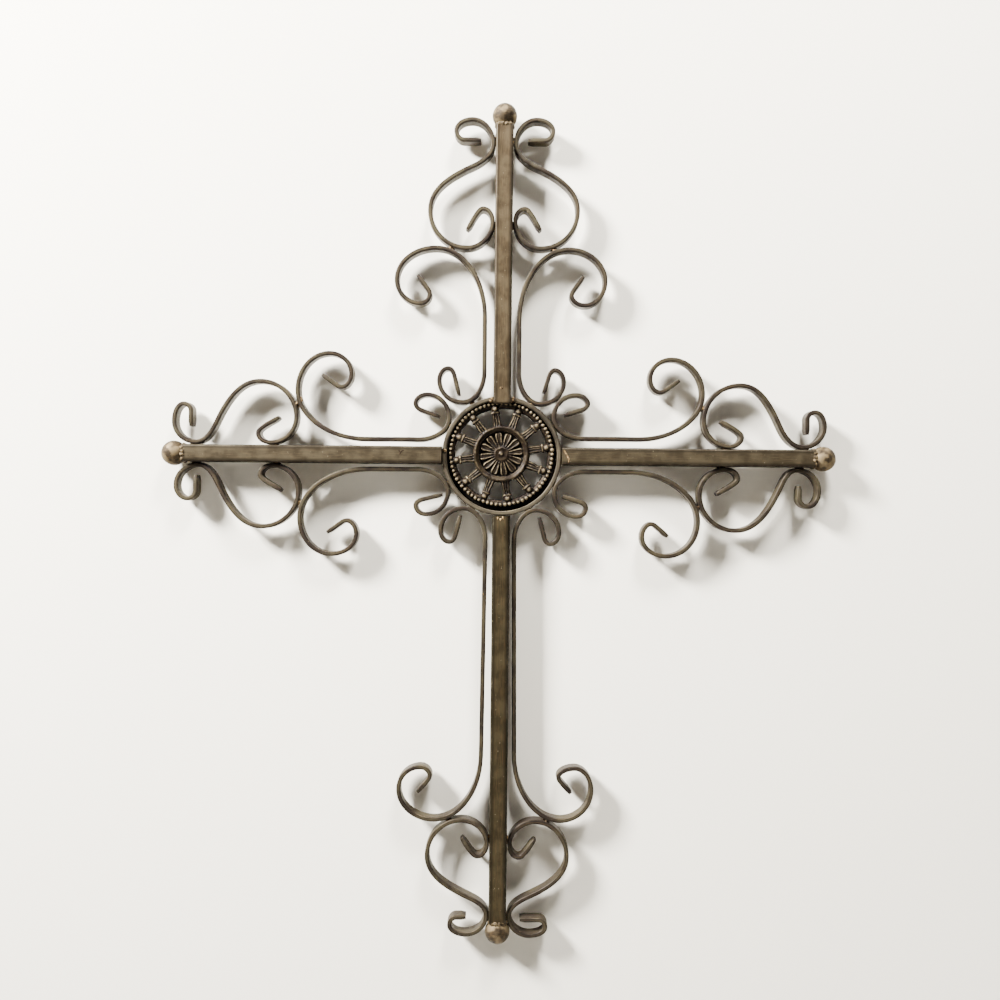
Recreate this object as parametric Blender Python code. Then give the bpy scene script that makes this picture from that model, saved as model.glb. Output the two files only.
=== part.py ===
"""Wall cross: square bar arms and bent flat strip scrolls round a cast medallion.

The cross hangs flat on a wall. Its front faces -Y and +Z is up. The origin is
on the back face of the upper bar, at the place that rests against the hook.
"""

import math
from dataclasses import dataclass

import bmesh
import bpy
import numpy as np
from mathutils import Matrix, Vector

MM = 0.001

# Stock that the smith worked from
BAR_WIDTH = 12.7 * MM
BAR_CORNER = 1.7 * MM
STRIP_THICKNESS = 3.2 * MM
STRIP_DEPTH = 9.5 * MM
BALL_DIAMETER = 18.4 * MM
GAP = 0.3 * MM
WELD_ROOM = 1.0 * MM

# Distance from the centre of the hoop to the centre of each ball, and the ball's flat for its bar
REACH_UP = 247.0 * MM
REACH_DOWN = 345.0 * MM
REACH_LEFT = 238.0 * MM
REACH_RIGHT = 233.5 * MM
BALL_FLAT = 2.0 * MM
HOOK_BELOW_BALL = 24.0 * MM

# Hoop, how far the upper bar's tongue laps past its outer face, and the stock coped off the other bars
HOOP_DIAMETER = 86.5 * MM
TONGUE_LAP = 5.8 * MM
BAR_COPE = 1.5 * MM

# Cast medallion: beaded rim on a recessed flange, spokes, inner ring and rosette
FLANGE_WIDTH = 2.4 * MM
FLANGE_RECESS = 4.6 * MM
RIM_WIDTH = 4.3 * MM
CASTING_DEPTH = 8.2 * MM
CASTING_SETBACK = 0.7 * MM
CASTING_RISE = 1.7 * MM
CASTING_SHIFT = 0.3 * MM
BEAD_COUNT = 72
BEAD_BULGE = 0.6 * MM
SPOKE_COUNT = 12
SPOKE_TURN = math.radians(8.5)
SPOKE_WIDTH = 5.6 * MM
SPOKE_THICKNESS = 3.4 * MM
SPOKE_RECESS = 1.6 * MM
KNOB_DIAMETER = 4.8 * MM
RING_DIAMETER = 42.6 * MM
RING_WIDTH = 5.2 * MM
DISC_THICKNESS = 2.4 * MM
DISC_RECESS = 3.4 * MM
PETAL_COUNT = 12
PETAL_WIDTH = 6.2 * MM
PETAL_RISE = 1.3 * MM
BOSS_DIAMETER = 10.8 * MM
BOSS_RISE = 2.6 * MM

# Fineness of the facets
BEND_STEP = math.radians(23)
HOOP_SIDES = 56
BALL_SIDES = 16
CORNER_STEPS = 2
DISH_SIDES = 32

HOOP_RADIUS = HOOP_DIAMETER / 2
BALL_RADIUS = BALL_DIAMETER / 2
BALL_SEAT = BALL_RADIUS - BALL_FLAT
STRIP_OFF_BAR = BAR_WIDTH / 2 + GAP + STRIP_THICKNESS / 2
STRIP_OFF_STRIP = STRIP_THICKNESS + GAP
WELD_OFF_STRIP = STRIP_OFF_STRIP + WELD_ROOM
STRIP_OFF_HOOP = HOOP_RADIUS + GAP + STRIP_THICKNESS / 2
STRIP_OFF_BALL = BALL_RADIUS + GAP + STRIP_THICKNESS / 2
HUB = Vector((0, 0, HOOK_BELOW_BALL - REACH_UP))
CASTING_HUB = HUB + Vector((-CASTING_SHIFT, 0, CASTING_RISE))
BAR_CENTRE = -BAR_WIDTH / 2
ROUND_HANDLE = 4 / 3 * math.tan(math.pi / 8)


@dataclass(frozen=True)
class FarCurl:
    """The wide curl that ends a long scroll away from the hoop."""

    width: float = 42.0 * MM
    height: float = 62.0 * MM
    sweep: float = 50.0 * MM
    belly: float = 35.5 * MM
    crown: float = 23.0 * MM
    back: float = 47.0 * MM
    hook_drop: float = 10.0 * MM
    hook_turn: float = 6.2 * MM
    tip_run: float = 15.0 * MM
    tip_rise: float = 9.3 * MM


@dataclass(frozen=True)
class NearCurl:
    """The small curl that brings a long scroll back against the hoop."""

    width: float = 24.5 * MM
    height: float = 32.6 * MM
    sweep: float = 22.5 * MM
    belly: float = 15.8 * MM
    crown: float = 16.0 * MM
    brow: float = 26.2 * MM
    hook_drop: float = 4.4 * MM
    hook_turn: float = 4.8 * MM
    tip_run: float = 14.5 * MM
    tip_drop: float = 3.6 * MM


@dataclass(frozen=True)
class Loop:
    """The large loop of an S scroll, which rests on the bar."""

    height: float = 44.4 * MM
    heel: float = 18.8 * MM
    belly: float = 18.6 * MM
    crown: float = 26.5 * MM
    hook_reach: float = 8.8 * MM
    hook_rise: float = 6.8 * MM
    tip_run: float = 15.0 * MM
    tip_rise: float = 11.5 * MM


@dataclass(frozen=True)
class EndCurl:
    """The small curl of an S scroll, beside the ball."""

    slope_run: float = 31.5 * MM
    slope_fall: float = 30.0 * MM
    slope_heading: float = 115.0
    span: float = 46.5 * MM
    sweep: float = 15.6 * MM
    belly: float = 15.0 * MM
    height: float = 26.5 * MM
    crown: float = 8.0 * MM
    width: float = 14.2 * MM
    leg: float = 11.0 * MM


@dataclass(frozen=True)
class Side:
    """One side of an arm: its scrolls, and how the smith set them.

    Args:
        name: the side's name.
        hand: 1 or -1, for the way out from the bar.
        run_gap: room between the bar and the long scroll's run, at the hoop's end.
        flare: how much wider that room is at the far end.
        inset: how far the S scroll's outer edge stays short of the ball's centre.
    """

    name: str = ""
    hand: int = 1
    run_gap: float = 3.4 * MM
    flare: float = 0.0
    inset: float = 3.4 * MM
    far: FarCurl = FarCurl()
    near: NearCurl = NearCurl()
    loop: Loop = Loop()
    end: EndCurl = EndCurl()


@dataclass(frozen=True)
class Arm:
    """One arm: its name, where it points, its reach and the scrolls beside it."""

    name: str
    along: Vector
    reach: float
    sides: tuple

    def place(self, run: float, out: float, hand: int) -> tuple:
        """World X and Z of a point given along the arm and out to one side."""
        across = Vector((-self.along.z, 0, self.along.x)) * hand
        spot = HUB + self.along * run + across * out
        return spot.x, spot.z


@dataclass(frozen=True)
class UpperLeftFar(FarCurl):
    """The upper arm's left far curl, the tallest."""

    width: float = 40.4 * MM
    height: float = 64.0 * MM
    hook_drop: float = 7.4 * MM
    tip_run: float = 14.5 * MM


@dataclass(frozen=True)
class UpperRightFar(FarCurl):
    """The upper arm's right far curl."""

    width: float = 40.4 * MM


@dataclass(frozen=True)
class UpperLoop(Loop):
    """The loops of the upper arm's S scrolls."""

    height: float = 45.3 * MM
    heel: float = 19.7 * MM
    crown: float = 27.5 * MM


@dataclass(frozen=True)
class UpperEnd(EndCurl):
    """The end curls of the upper arm's S scrolls."""

    span: float = 48.3 * MM
    sweep: float = 17.3 * MM
    height: float = 26.8 * MM
    width: float = 14.8 * MM
    leg: float = 12.0 * MM


@dataclass(frozen=True)
class LowerFar(FarCurl):
    """What the lower arm's far curls share."""

    width: float = 37.8 * MM
    sweep: float = 47.5 * MM
    belly: float = 34.0 * MM
    crown: float = 22.0 * MM
    back: float = 44.0 * MM
    tip_run: float = 12.0 * MM


@dataclass(frozen=True)
class LowerLeftFar(LowerFar):
    """The lower arm's left far curl."""

    height: float = 59.6 * MM
    hook_drop: float = 7.4 * MM


@dataclass(frozen=True)
class LowerRightFar(LowerFar):
    """The lower arm's right far curl."""

    height: float = 56.2 * MM
    hook_drop: float = 12.0 * MM


@dataclass(frozen=True)
class LowerLeftLoop(Loop):
    """The loop of the lower arm's left S scroll."""

    height: float = 43.2 * MM
    heel: float = 17.0 * MM
    crown: float = 25.5 * MM
    tip_run: float = 12.5 * MM


@dataclass(frozen=True)
class LowerRightLoop(LowerLeftLoop):
    """The loop of the lower arm's right S scroll."""

    height: float = 41.6 * MM


@dataclass(frozen=True)
class LowerEnd(EndCurl):
    """What the lower arm's end curls share."""

    slope_run: float = 29.5 * MM
    slope_fall: float = 28.5 * MM
    span: float = 43.3 * MM
    sweep: float = 13.6 * MM


@dataclass(frozen=True)
class LowerLeftEnd(LowerEnd):
    """The end curl of the lower arm's left S scroll."""

    width: float = 12.2 * MM
    crown: float = 6.6 * MM
    leg: float = 7.0 * MM


@dataclass(frozen=True)
class LowerRightEnd(LowerEnd):
    """The end curl of the lower arm's right S scroll."""

    width: float = 11.4 * MM
    crown: float = 6.2 * MM
    leg: float = 14.0 * MM


@dataclass(frozen=True)
class LeftTopFar(FarCurl):
    """The left arm's top far curl."""

    width: float = 38.8 * MM


@dataclass(frozen=True)
class LeftBottomFar(FarCurl):
    """The left arm's bottom far curl."""

    width: float = 41.2 * MM


@dataclass(frozen=True)
class LeftTopEnd(EndCurl):
    """The end curl of the left arm's top S scroll."""

    height: float = 27.5 * MM
    width: float = 12.2 * MM
    crown: float = 6.8 * MM


@dataclass(frozen=True)
class LeftBottomEnd(EndCurl):
    """The end curl of the left arm's bottom S scroll."""

    height: float = 24.6 * MM


@dataclass(frozen=True)
class RightTopFar(FarCurl):
    """The right arm's top far curl, the lowest."""

    width: float = 38.2 * MM
    height: float = 58.0 * MM
    sweep: float = 46.5 * MM
    belly: float = 33.0 * MM
    back: float = 43.5 * MM


@dataclass(frozen=True)
class RightBottomFar(FarCurl):
    """The right arm's bottom far curl."""

    width: float = 40.4 * MM
    height: float = 60.8 * MM
    tip_run: float = 12.5 * MM


@dataclass(frozen=True)
class RightTopEnd(EndCurl):
    """The end curl of the right arm's top S scroll."""

    slope_run: float = 29.0 * MM
    span: float = 45.4 * MM
    height: float = 25.4 * MM
    width: float = 12.4 * MM
    crown: float = 6.8 * MM


@dataclass(frozen=True)
class RightBottomEnd(EndCurl):
    """The end curl of the right arm's bottom S scroll."""

    span: float = 44.4 * MM
    leg: float = 9.0 * MM


@dataclass(frozen=True)
class LeftTopNear(NearCurl):
    """The left arm's top near curl."""

    hook_drop: float = 5.2 * MM
    tip_run: float = 12.5 * MM
    tip_drop: float = 4.4 * MM


@dataclass(frozen=True)
class LeftBottomNear(NearCurl):
    """The left arm's bottom near curl."""

    width: float = 23.2 * MM


@dataclass(frozen=True)
class UpperRightNear(NearCurl):
    """The upper arm's right near curl."""

    tip_run: float = 11.5 * MM


@dataclass(frozen=True)
class RightTopNear(NearCurl):
    """The right arm's top near curl."""

    width: float = 24.4 * MM
    height: float = 31.6 * MM
    brow: float = 25.2 * MM
    tip_run: float = 12.0 * MM


@dataclass(frozen=True)
class RightBottomNear(NearCurl):
    """The right arm's bottom near curl."""

    width: float = 23.0 * MM
    tip_run: float = 12.1 * MM


@dataclass(frozen=True)
class UpperLeftSide(Side):
    """The upper arm's left side."""

    name: str = "left"
    hand: int = 1
    run_gap: float = 5.2 * MM
    inset: float = 3.4 * MM
    far: FarCurl = UpperLeftFar()
    loop: Loop = UpperLoop()
    end: EndCurl = UpperEnd()


@dataclass(frozen=True)
class UpperRightSide(Side):
    """The upper arm's right side."""

    name: str = "right"
    hand: int = -1
    run_gap: float = 4.0 * MM
    inset: float = 3.4 * MM
    far: FarCurl = UpperRightFar()
    near: NearCurl = UpperRightNear()
    loop: Loop = UpperLoop()
    end: EndCurl = UpperEnd()


@dataclass(frozen=True)
class LowerLeftSide(Side):
    """The lower arm's left side."""

    name: str = "left"
    hand: int = -1
    run_gap: float = 3.4 * MM
    flare: float = 1.6 * MM
    inset: float = -1.8 * MM
    far: FarCurl = LowerLeftFar()
    loop: Loop = LowerLeftLoop()
    end: EndCurl = LowerLeftEnd()


@dataclass(frozen=True)
class LowerRightSide(Side):
    """The lower arm's right side."""

    name: str = "right"
    hand: int = 1
    run_gap: float = 1.6 * MM
    flare: float = 1.4 * MM
    inset: float = -2.5 * MM
    far: FarCurl = LowerRightFar()
    loop: Loop = LowerRightLoop()
    end: EndCurl = LowerRightEnd()


@dataclass(frozen=True)
class LeftTopSide(Side):
    """The left arm's top side."""

    name: str = "top"
    hand: int = -1
    run_gap: float = 3.4 * MM
    inset: float = 0.4 * MM
    far: FarCurl = LeftTopFar()
    near: NearCurl = LeftTopNear()
    end: EndCurl = LeftTopEnd()


@dataclass(frozen=True)
class LeftBottomSide(Side):
    """The left arm's bottom side."""

    name: str = "bottom"
    hand: int = 1
    run_gap: float = 2.3 * MM
    inset: float = 2.1 * MM
    far: FarCurl = LeftBottomFar()
    near: NearCurl = LeftBottomNear()
    end: EndCurl = LeftBottomEnd()


@dataclass(frozen=True)
class RightTopSide(Side):
    """The right arm's top side."""

    name: str = "top"
    hand: int = 1
    run_gap: float = 5.0 * MM
    inset: float = -0.3 * MM
    far: FarCurl = RightTopFar()
    near: NearCurl = RightTopNear()
    end: EndCurl = RightTopEnd()


@dataclass(frozen=True)
class RightBottomSide(Side):
    """The right arm's bottom side."""

    name: str = "bottom"
    hand: int = -1
    run_gap: float = 3.0 * MM
    inset: float = 3.4 * MM
    far: FarCurl = RightBottomFar()
    near: NearCurl = RightBottomNear()
    end: EndCurl = RightBottomEnd()


UPPER_SIDES = (UpperLeftSide(), UpperRightSide())
LOWER_SIDES = (LowerLeftSide(), LowerRightSide())
LEFT_SIDES = (LeftTopSide(), LeftBottomSide())
RIGHT_SIDES = (RightTopSide(), RightBottomSide())
ARMS = (
    Arm("upper", Vector((0, 0, 1)), REACH_UP, UPPER_SIDES),
    Arm("lower", Vector((0, 0, -1)), REACH_DOWN, LOWER_SIDES),
    Arm("left", Vector((-1, 0, 0)), REACH_LEFT, LEFT_SIDES),
    Arm("right", Vector((1, 0, 0)), REACH_RIGHT, RIGHT_SIDES),
)


def bend(start: tuple, end: tuple) -> list:
    """Points of a smooth bend between two stations of (run, out, heading), without its first point."""
    first = np.array(start[:2])
    last = np.array(end[:2])
    reach = last - first
    leave, arrive = (np.array((math.cos(turn), math.sin(turn))) for turn in np.radians((start[2], end[2])))
    turn = math.radians(abs(end[2] - start[2]))
    steps = max(1, math.ceil(turn / BEND_STEP - 1e-6))
    if abs(turn - math.pi / 2) < 1e-6:
        handles = (ROUND_HANDLE * abs(reach @ leave), ROUND_HANDLE * abs(reach @ arrive))
    elif turn > 0:
        share = 2 / 3 * math.tan(turn / 4) / math.sin(turn / 2)
        handles = (share * np.linalg.norm(reach),) * 2
    else:
        handles = (np.linalg.norm(reach) / 3,) * 2
    inner = (first + leave * handles[0], last - arrive * handles[1])
    shares = np.linspace(0, 1, steps + 1)[1:, None]
    rest = 1 - shares
    curve = rest**3 * first + 3 * rest**2 * shares * inner[0]
    curve += 3 * rest * shares**2 * inner[1] + shares**3 * last
    return list(curve)


def route(stations: list) -> np.ndarray:
    """The middle line of a bent strip through its stations."""
    points = [np.array(stations[0][:2])]
    for start, end in zip(stations, stations[1:]):
        points += bend(start, end)
    return np.array(points)


def far_curl(curl: FarCurl, rail: float) -> np.ndarray:
    """A long scroll's far curl, from its tip to where it joins the run at zero."""
    edge = curl.sweep
    hook = (edge - curl.width + curl.hook_turn, rail + curl.back - curl.hook_drop)
    slant = math.degrees(math.atan2(curl.tip_rise, curl.tip_run))
    return route(
        [
            (hook[0] + curl.tip_run, hook[1] + curl.tip_rise, 180 + slant),
            (hook[0] + 0.25 * curl.tip_run, hook[1] + 0.16 * curl.tip_rise, 180 + slant),
            (edge - curl.width, rail + curl.back, 90),
            (edge - curl.crown, rail + curl.height, 0),
            (edge, rail + curl.belly, -90),
            (0, rail, -180),
        ]
    )


def near_curl(curl: NearCurl, rail: float) -> np.ndarray:
    """A long scroll's near curl, from where it leaves the run at zero to its tip."""
    edge = -curl.sweep
    brow = (edge + curl.width, rail + curl.brow)
    hook = (brow[0] - curl.hook_turn, brow[1] - curl.hook_drop)
    slant = math.degrees(math.atan2(curl.tip_drop, curl.tip_run))
    return route(
        [
            (0, rail, -180),
            (edge, rail + curl.belly, -270),
            (edge + curl.crown, rail + curl.height, -360),
            (brow[0], brow[1], -450),
            (hook[0], hook[1], -540 + slant),
            (hook[0] - curl.tip_run, hook[1] - curl.tip_drop, -540 + slant),
        ]
    )


def s_scroll(loop: Loop, end: EndCurl) -> np.ndarray:
    """An S scroll from its outer tip to its inner tip, with its loop resting on the bar at zero."""
    rest = STRIP_OFF_BAR
    crown = (loop.crown - loop.heel, rest + loop.height)
    bottom = crown[0] + end.span
    edge = bottom + end.sweep
    hook = (loop.hook_reach, rest + loop.hook_rise)
    slant = math.degrees(math.atan2(loop.tip_rise, loop.tip_run))
    knee = rest + end.height - end.crown * 0.75
    return route(
        [
            (edge - end.width, knee - end.leg, 90),
            (edge - end.width, knee, 90),
            (edge - end.crown, rest + end.height, 0),
            (edge, rest + end.belly, -90),
            (bottom, rest, -180),
            (crown[0] + end.slope_run, crown[1] - end.slope_fall, -360 + end.slope_heading),
            (crown[0], crown[1], -180),
            (-loop.heel, rest + loop.belly, -90),
            (0, rest, 0),
            (hook[0], hook[1], 90),
            (hook[0] - loop.tip_run * 0.25, hook[1] + loop.tip_rise * 0.4, 180 - slant),
            (hook[0] - loop.tip_run, hook[1] + loop.tip_rise, 180 - slant),
        ]
    )


def nearest(line: np.ndarray, spots: np.ndarray) -> float:
    """The least distance from any of the spots to a middle line."""
    starts = line[:-1]
    spans = line[1:] - starts
    offsets = spots[:, None] - starts
    shares = np.clip((offsets * spans).sum(axis=2) / (spans * spans).sum(axis=1), 0, 1)
    return float(np.linalg.norm(offsets - shares[..., None] * spans, axis=2).min())


def apart(first: np.ndarray, second: np.ndarray) -> float:
    """The least distance between two middle lines."""
    return min(nearest(first, second), nearest(second, first))


def slide_until(distance, wanted: float, low: float, high: float) -> float:
    """The slide between low and high at which a distance that grows with it is as wanted."""
    for _ in range(60):
        middle = (low + high) / 2
        if distance(middle) < wanted:
            low = middle
        else:
            high = middle
    return high


def shifted(line: np.ndarray, run: float) -> np.ndarray:
    return line + np.array((run, 0))


def hub_space(line: np.ndarray) -> float:
    """Room left between a near curl and both the hoop and the next arm's near curl, past the diagonal."""
    off_hoop = nearest(line, np.array([(0, 0)])) - STRIP_OFF_HOOP
    off_diagonal = float((line[:, 0] - line[:, 1]).min()) / math.sqrt(2) - STRIP_OFF_STRIP / 2
    return min(off_hoop, off_diagonal)


def scroll_pair(arm: Arm, side: Side) -> tuple:
    """Middle lines of the long scroll and the S scroll on one side of an arm, each against its neighbours."""
    small = s_scroll(side.loop, side.end)
    ball = np.array([(arm.reach, 0)])
    outermost = small[:, 0].max() + side.inset
    back_off = slide_until(
        lambda back: nearest(shifted(small, arm.reach - back), ball),
        STRIP_OFF_BALL,
        outermost,
        arm.reach,
    )
    small = shifted(small, arm.reach - back_off)
    rail = BAR_WIDTH / 2 + side.run_gap + STRIP_THICKNESS / 2
    near = near_curl(side.near, rail)
    start = slide_until(lambda run: hub_space(shifted(near, run)), 0, 0, arm.reach)
    far = far_curl(side.far, rail + side.flare)
    inward = slide_until(
        lambda back: apart(shifted(far, arm.reach - back), small),
        WELD_OFF_STRIP,
        arm.reach - small[:, 0].min(),
        arm.reach,
    )
    long = np.vstack((shifted(far, arm.reach - inward), shifted(near, start)))
    return long, small


def material(name: str, colour: tuple, roughness: float, metallic: float) -> bpy.types.Material:
    made = bpy.data.materials.new(name)
    made.use_nodes = True
    shader = made.node_tree.nodes["Principled BSDF"]
    shader.inputs["Base Color"].default_value = (*colour, 1)
    shader.inputs["Roughness"].default_value = roughness
    shader.inputs["Metallic"].default_value = metallic
    return made


def add_object(
    name: str, shape: bmesh.types.BMesh, finish: bpy.types.Material, root: bpy.types.Object
) -> bpy.types.Object:
    """An object holding a closed shape, with outward faces and smooth round sides."""
    bmesh.ops.recalc_face_normals(shape, faces=shape.faces)
    mesh = bpy.data.meshes.new(name)
    shape.to_mesh(mesh)
    shape.free()
    mesh.materials.append(finish)
    mesh.shade_smooth()
    mesh.set_sharp_from_angle(angle=math.radians(35))
    made = bpy.data.objects.new(name, mesh)
    bpy.context.scene.collection.objects.link(made)
    made.parent = root
    return made


def strip_shape(line: np.ndarray, place) -> bmesh.types.BMesh:
    """A flat strip bent along a middle line, standing on its edge with its back at Y zero."""
    ahead = np.diff(line, axis=0)
    ahead /= np.linalg.norm(ahead, axis=1)[:, None]
    headings = np.vstack((ahead[:1], ahead[:-1] + ahead[1:], ahead[-1:]))
    headings /= np.linalg.norm(headings, axis=1)[:, None]
    stretch = np.ones(len(line))
    stretch[1:-1] = 1 / (headings[1:-1] * ahead[1:]).sum(axis=1)
    aside = np.column_stack((-headings[:, 1], headings[:, 0])) * (STRIP_THICKNESS / 2 * stretch)[:, None]
    shape = bmesh.new()
    rings = []
    for spot, offset in zip(line, aside):
        left = place(*(spot + offset))
        right = place(*(spot - offset))
        corners = ((left, 0), (left, -STRIP_DEPTH), (right, -STRIP_DEPTH), (right, 0))
        rings.append([shape.verts.new((corner[0], depth, corner[1])) for corner, depth in corners])
    joined_rings(shape, rings, False)
    shape.faces.new(rings[0])
    shape.faces.new(rings[-1])
    return shape


@dataclass(frozen=True)
class Corner:
    """One corner of a turned ring's section.

    Args:
        radius: distance from the ring's centre.
        depth: place on Y.
        bulge: how far the corner stands out at every second station round the ring.
        centre: the middle of the circle that the corner runs on.
    """

    radius: float
    depth: float
    bulge: float = 0.0
    centre: Vector = HUB


def joined_rings(shape: bmesh.types.BMesh, rings: list, closed: bool) -> None:
    """Side faces between rings of corners, each joined to the next, and the last to the first if closed."""
    count = len(rings[0])
    pairs = list(zip(rings, rings[1:]))
    if closed:
        pairs.append((rings[-1], rings[0]))
    for here, there in pairs:
        for i in range(count):
            j = (i + 1) % count
            shape.faces.new((here[i], here[j], there[j], there[i]))


def turned_shape(section: list, sides: int) -> bmesh.types.BMesh:
    """A closed ring turned about the Y direction from a section's corners, in order round it."""
    shape = bmesh.new()
    rings = []
    for i in range(sides):
        angle = math.tau * i / sides
        reaches = [corner.radius + corner.bulge * (i % 2) for corner in section]
        spots = [
            corner.centre + Vector((reach * math.cos(angle), corner.depth, reach * math.sin(angle)))
            for corner, reach in zip(section, reaches)
        ]
        rings.append([shape.verts.new(spot) for spot in spots])
    joined_rings(shape, rings, True)
    return shape


def box_shape(size: Vector, centre: Vector) -> bmesh.types.BMesh:
    shape = bmesh.new()
    bmesh.ops.create_cube(shape, size=1)
    bmesh.ops.scale(shape, vec=size, verts=shape.verts)
    bmesh.ops.translate(shape, vec=centre, verts=shape.verts)
    return shape


def cutter(made: bpy.types.Object) -> bpy.types.Object:
    """Keeps a helper out of renders."""
    made.hide_render = True
    made.display_type = "WIRE"
    return made


def combine(target: bpy.types.Object, other: bpy.types.Object, operation: str) -> None:
    change = target.modifiers.new(f"{operation.title()} {other.name}", "BOOLEAN")
    change.operation = operation
    change.object = other
    change.solver = "EXACT"


def hoop_room(front: float) -> bmesh.types.BMesh:
    """The round space that the hoop takes, from behind the bars to a depth in front."""
    radius = HOOP_RADIUS + GAP
    back = BAR_WIDTH
    room = bmesh.new()
    bmesh.ops.create_cone(
        room, cap_ends=True, segments=HOOP_SIDES, radius1=radius, radius2=radius, depth=back - front
    )
    upright = Matrix.Rotation(math.pi / 2, 3, "X")
    bmesh.ops.rotate(room, cent=(0, 0, 0), matrix=upright, verts=room.verts)
    bmesh.ops.translate(room, vec=HUB + Vector((0, (back + front) / 2, 0)), verts=room.verts)
    return room


def build_bar(arm: Arm, finish: bpy.types.Material, root: bpy.types.Object) -> bpy.types.Object:
    """A square bar with eased corners, coped to the hoop and ending at the seat of its ball.

    The upper bar's end runs on as a tongue over the hoop's front edge.
    """
    laps = arm.name == "upper"
    start = HOOP_RADIUS - TONGUE_LAP if laps else HOOP_RADIUS - BAR_COPE
    end = arm.reach - BALL_SEAT - GAP
    length = Vector((abs(arm.along.x), 0, abs(arm.along.z))) * (end - start)
    size = Vector((abs(arm.along.z), 1, abs(arm.along.x))) * BAR_WIDTH + length
    centre = HUB + arm.along * ((start + end) / 2)
    centre.y = BAR_CENTRE
    shape = box_shape(size, centre)
    ways = [(edge, (edge.verts[0].co - edge.verts[1].co).normalized()) for edge in shape.edges]
    long_edges = [edge for edge, way in ways if abs(way.dot(arm.along)) > 0.9]
    bmesh.ops.bevel(
        shape, geom=long_edges, offset=BAR_CORNER, segments=CORNER_STEPS, profile=0.5, affect="EDGES"
    )
    made = add_object(f"{arm.name}_bar", shape, finish, root)
    room = hoop_room(-STRIP_DEPTH - GAP if laps else -2 * BAR_WIDTH)
    combine(made, cutter(add_object(f"{arm.name}_hoop_room", room, finish, root)), "DIFFERENCE")
    return made


def build_ball(arm: Arm, finish: bpy.types.Material, root: bpy.types.Object) -> bpy.types.Object:
    """A solid ball with a flat seat where the bar's end meets it."""
    shape = bmesh.new()
    bmesh.ops.create_uvsphere(
        shape, u_segments=BALL_SIDES, v_segments=BALL_SIDES // 2 + 1, radius=BALL_RADIUS
    )
    turn = Vector((0, 0, 1)).rotation_difference(arm.along)
    bmesh.ops.rotate(shape, cent=(0, 0, 0), matrix=turn.to_matrix(), verts=shape.verts)
    centre = HUB + arm.along * arm.reach
    centre.y = BAR_CENTRE
    bmesh.ops.translate(shape, vec=centre, verts=shape.verts)
    cut = bmesh.ops.bisect_plane(
        shape,
        geom=shape.verts[:] + shape.edges[:] + shape.faces[:],
        plane_co=centre - arm.along * BALL_SEAT,
        plane_no=-arm.along,
        clear_outer=True,
    )
    rim = [item for item in cut["geom_cut"] if isinstance(item, bmesh.types.BMEdge)]
    bmesh.ops.contextual_create(shape, geom=rim)
    return add_object(f"{arm.name}_ball", shape, finish, root)


def build_hoop(finish: bpy.types.Material, root: bpy.types.Object) -> bpy.types.Object:
    """The strip bent into a closed hoop, with its back flush with the bars."""
    inner = HOOP_RADIUS - STRIP_THICKNESS
    section = [
        Corner(HOOP_RADIUS, 0),
        Corner(HOOP_RADIUS, -STRIP_DEPTH),
        Corner(inner, -STRIP_DEPTH),
        Corner(inner, 0),
    ]
    return add_object("centre_hoop", turned_shape(section, HOOP_SIDES), finish, root)


def polar(radius: float, angle: float, depth: float) -> Vector:
    """A point by its distance and angle round the casting's middle, and its depth."""
    return CASTING_HUB + Vector((radius * math.cos(angle), depth, radius * math.sin(angle)))


def swing(shape: bmesh.types.BMesh, angle: float) -> None:
    """Turns a shape made along X to its angle round the casting's middle."""
    bmesh.ops.rotate(shape, cent=(0, 0, 0), matrix=Matrix.Rotation(-angle, 3, "Y"), verts=shape.verts)
    bmesh.ops.translate(shape, vec=CASTING_HUB, verts=shape.verts)


def spoke_shapes(inner: float, outer: float, top: float) -> list:
    """Twelve flat bars between the inner ring and the rim, each with a round knob by the rim."""
    shapes = []
    middle = top + SPOKE_RECESS + SPOKE_THICKNESS / 2
    for i in range(SPOKE_COUNT):
        angle = SPOKE_TURN + math.tau * i / SPOKE_COUNT
        size = Vector((outer - inner, SPOKE_THICKNESS, SPOKE_WIDTH))
        bar = box_shape(size, Vector(((outer + inner) / 2, middle, 0)))
        for vert in bar.verts:
            if vert.co.x > (outer + inner) / 2:
                vert.co.z *= 0.62
        knob = bmesh.new()
        bmesh.ops.create_icosphere(knob, subdivisions=1, radius=KNOB_DIAMETER / 2)
        bmesh.ops.translate(knob, vec=(outer, top + KNOB_DIAMETER / 2, 0), verts=knob.verts)
        for shape in (bar, knob):
            swing(shape, angle)
        shapes += [bar, knob]
    return shapes


def petal_shapes(inner: float, outer: float, face: float) -> list:
    """The rosette: low leaf-shaped petals round a boss."""
    shapes = []
    length = outer - inner
    for i in range(PETAL_COUNT):
        angle = SPOKE_TURN + math.tau * i / PETAL_COUNT
        outline = ((0.0, 0.16), (0.7, 0.5), (0.93, 0.36), (1.0, 0.0))
        rim = [(inner + length * share, PETAL_WIDTH * half) for share, half in outline]
        rim += [(run, -half) for run, half in reversed(rim[:-1])]
        petal = bmesh.new()
        low = [petal.verts.new((run, face + DISC_THICKNESS / 2, half)) for run, half in rim]
        high = [petal.verts.new((run, face - PETAL_RISE * 0.55, half)) for run, half in rim]
        ridge = petal.verts.new((inner + length * 0.6, face - PETAL_RISE, 0))
        petal.faces.new(low)
        for j in range(len(rim)):
            k = (j + 1) % len(rim)
            petal.faces.new((low[j], low[k], high[k], high[j]))
            petal.faces.new((high[j], high[k], ridge))
        swing(petal, angle)
        shapes.append(petal)
    return shapes


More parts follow.
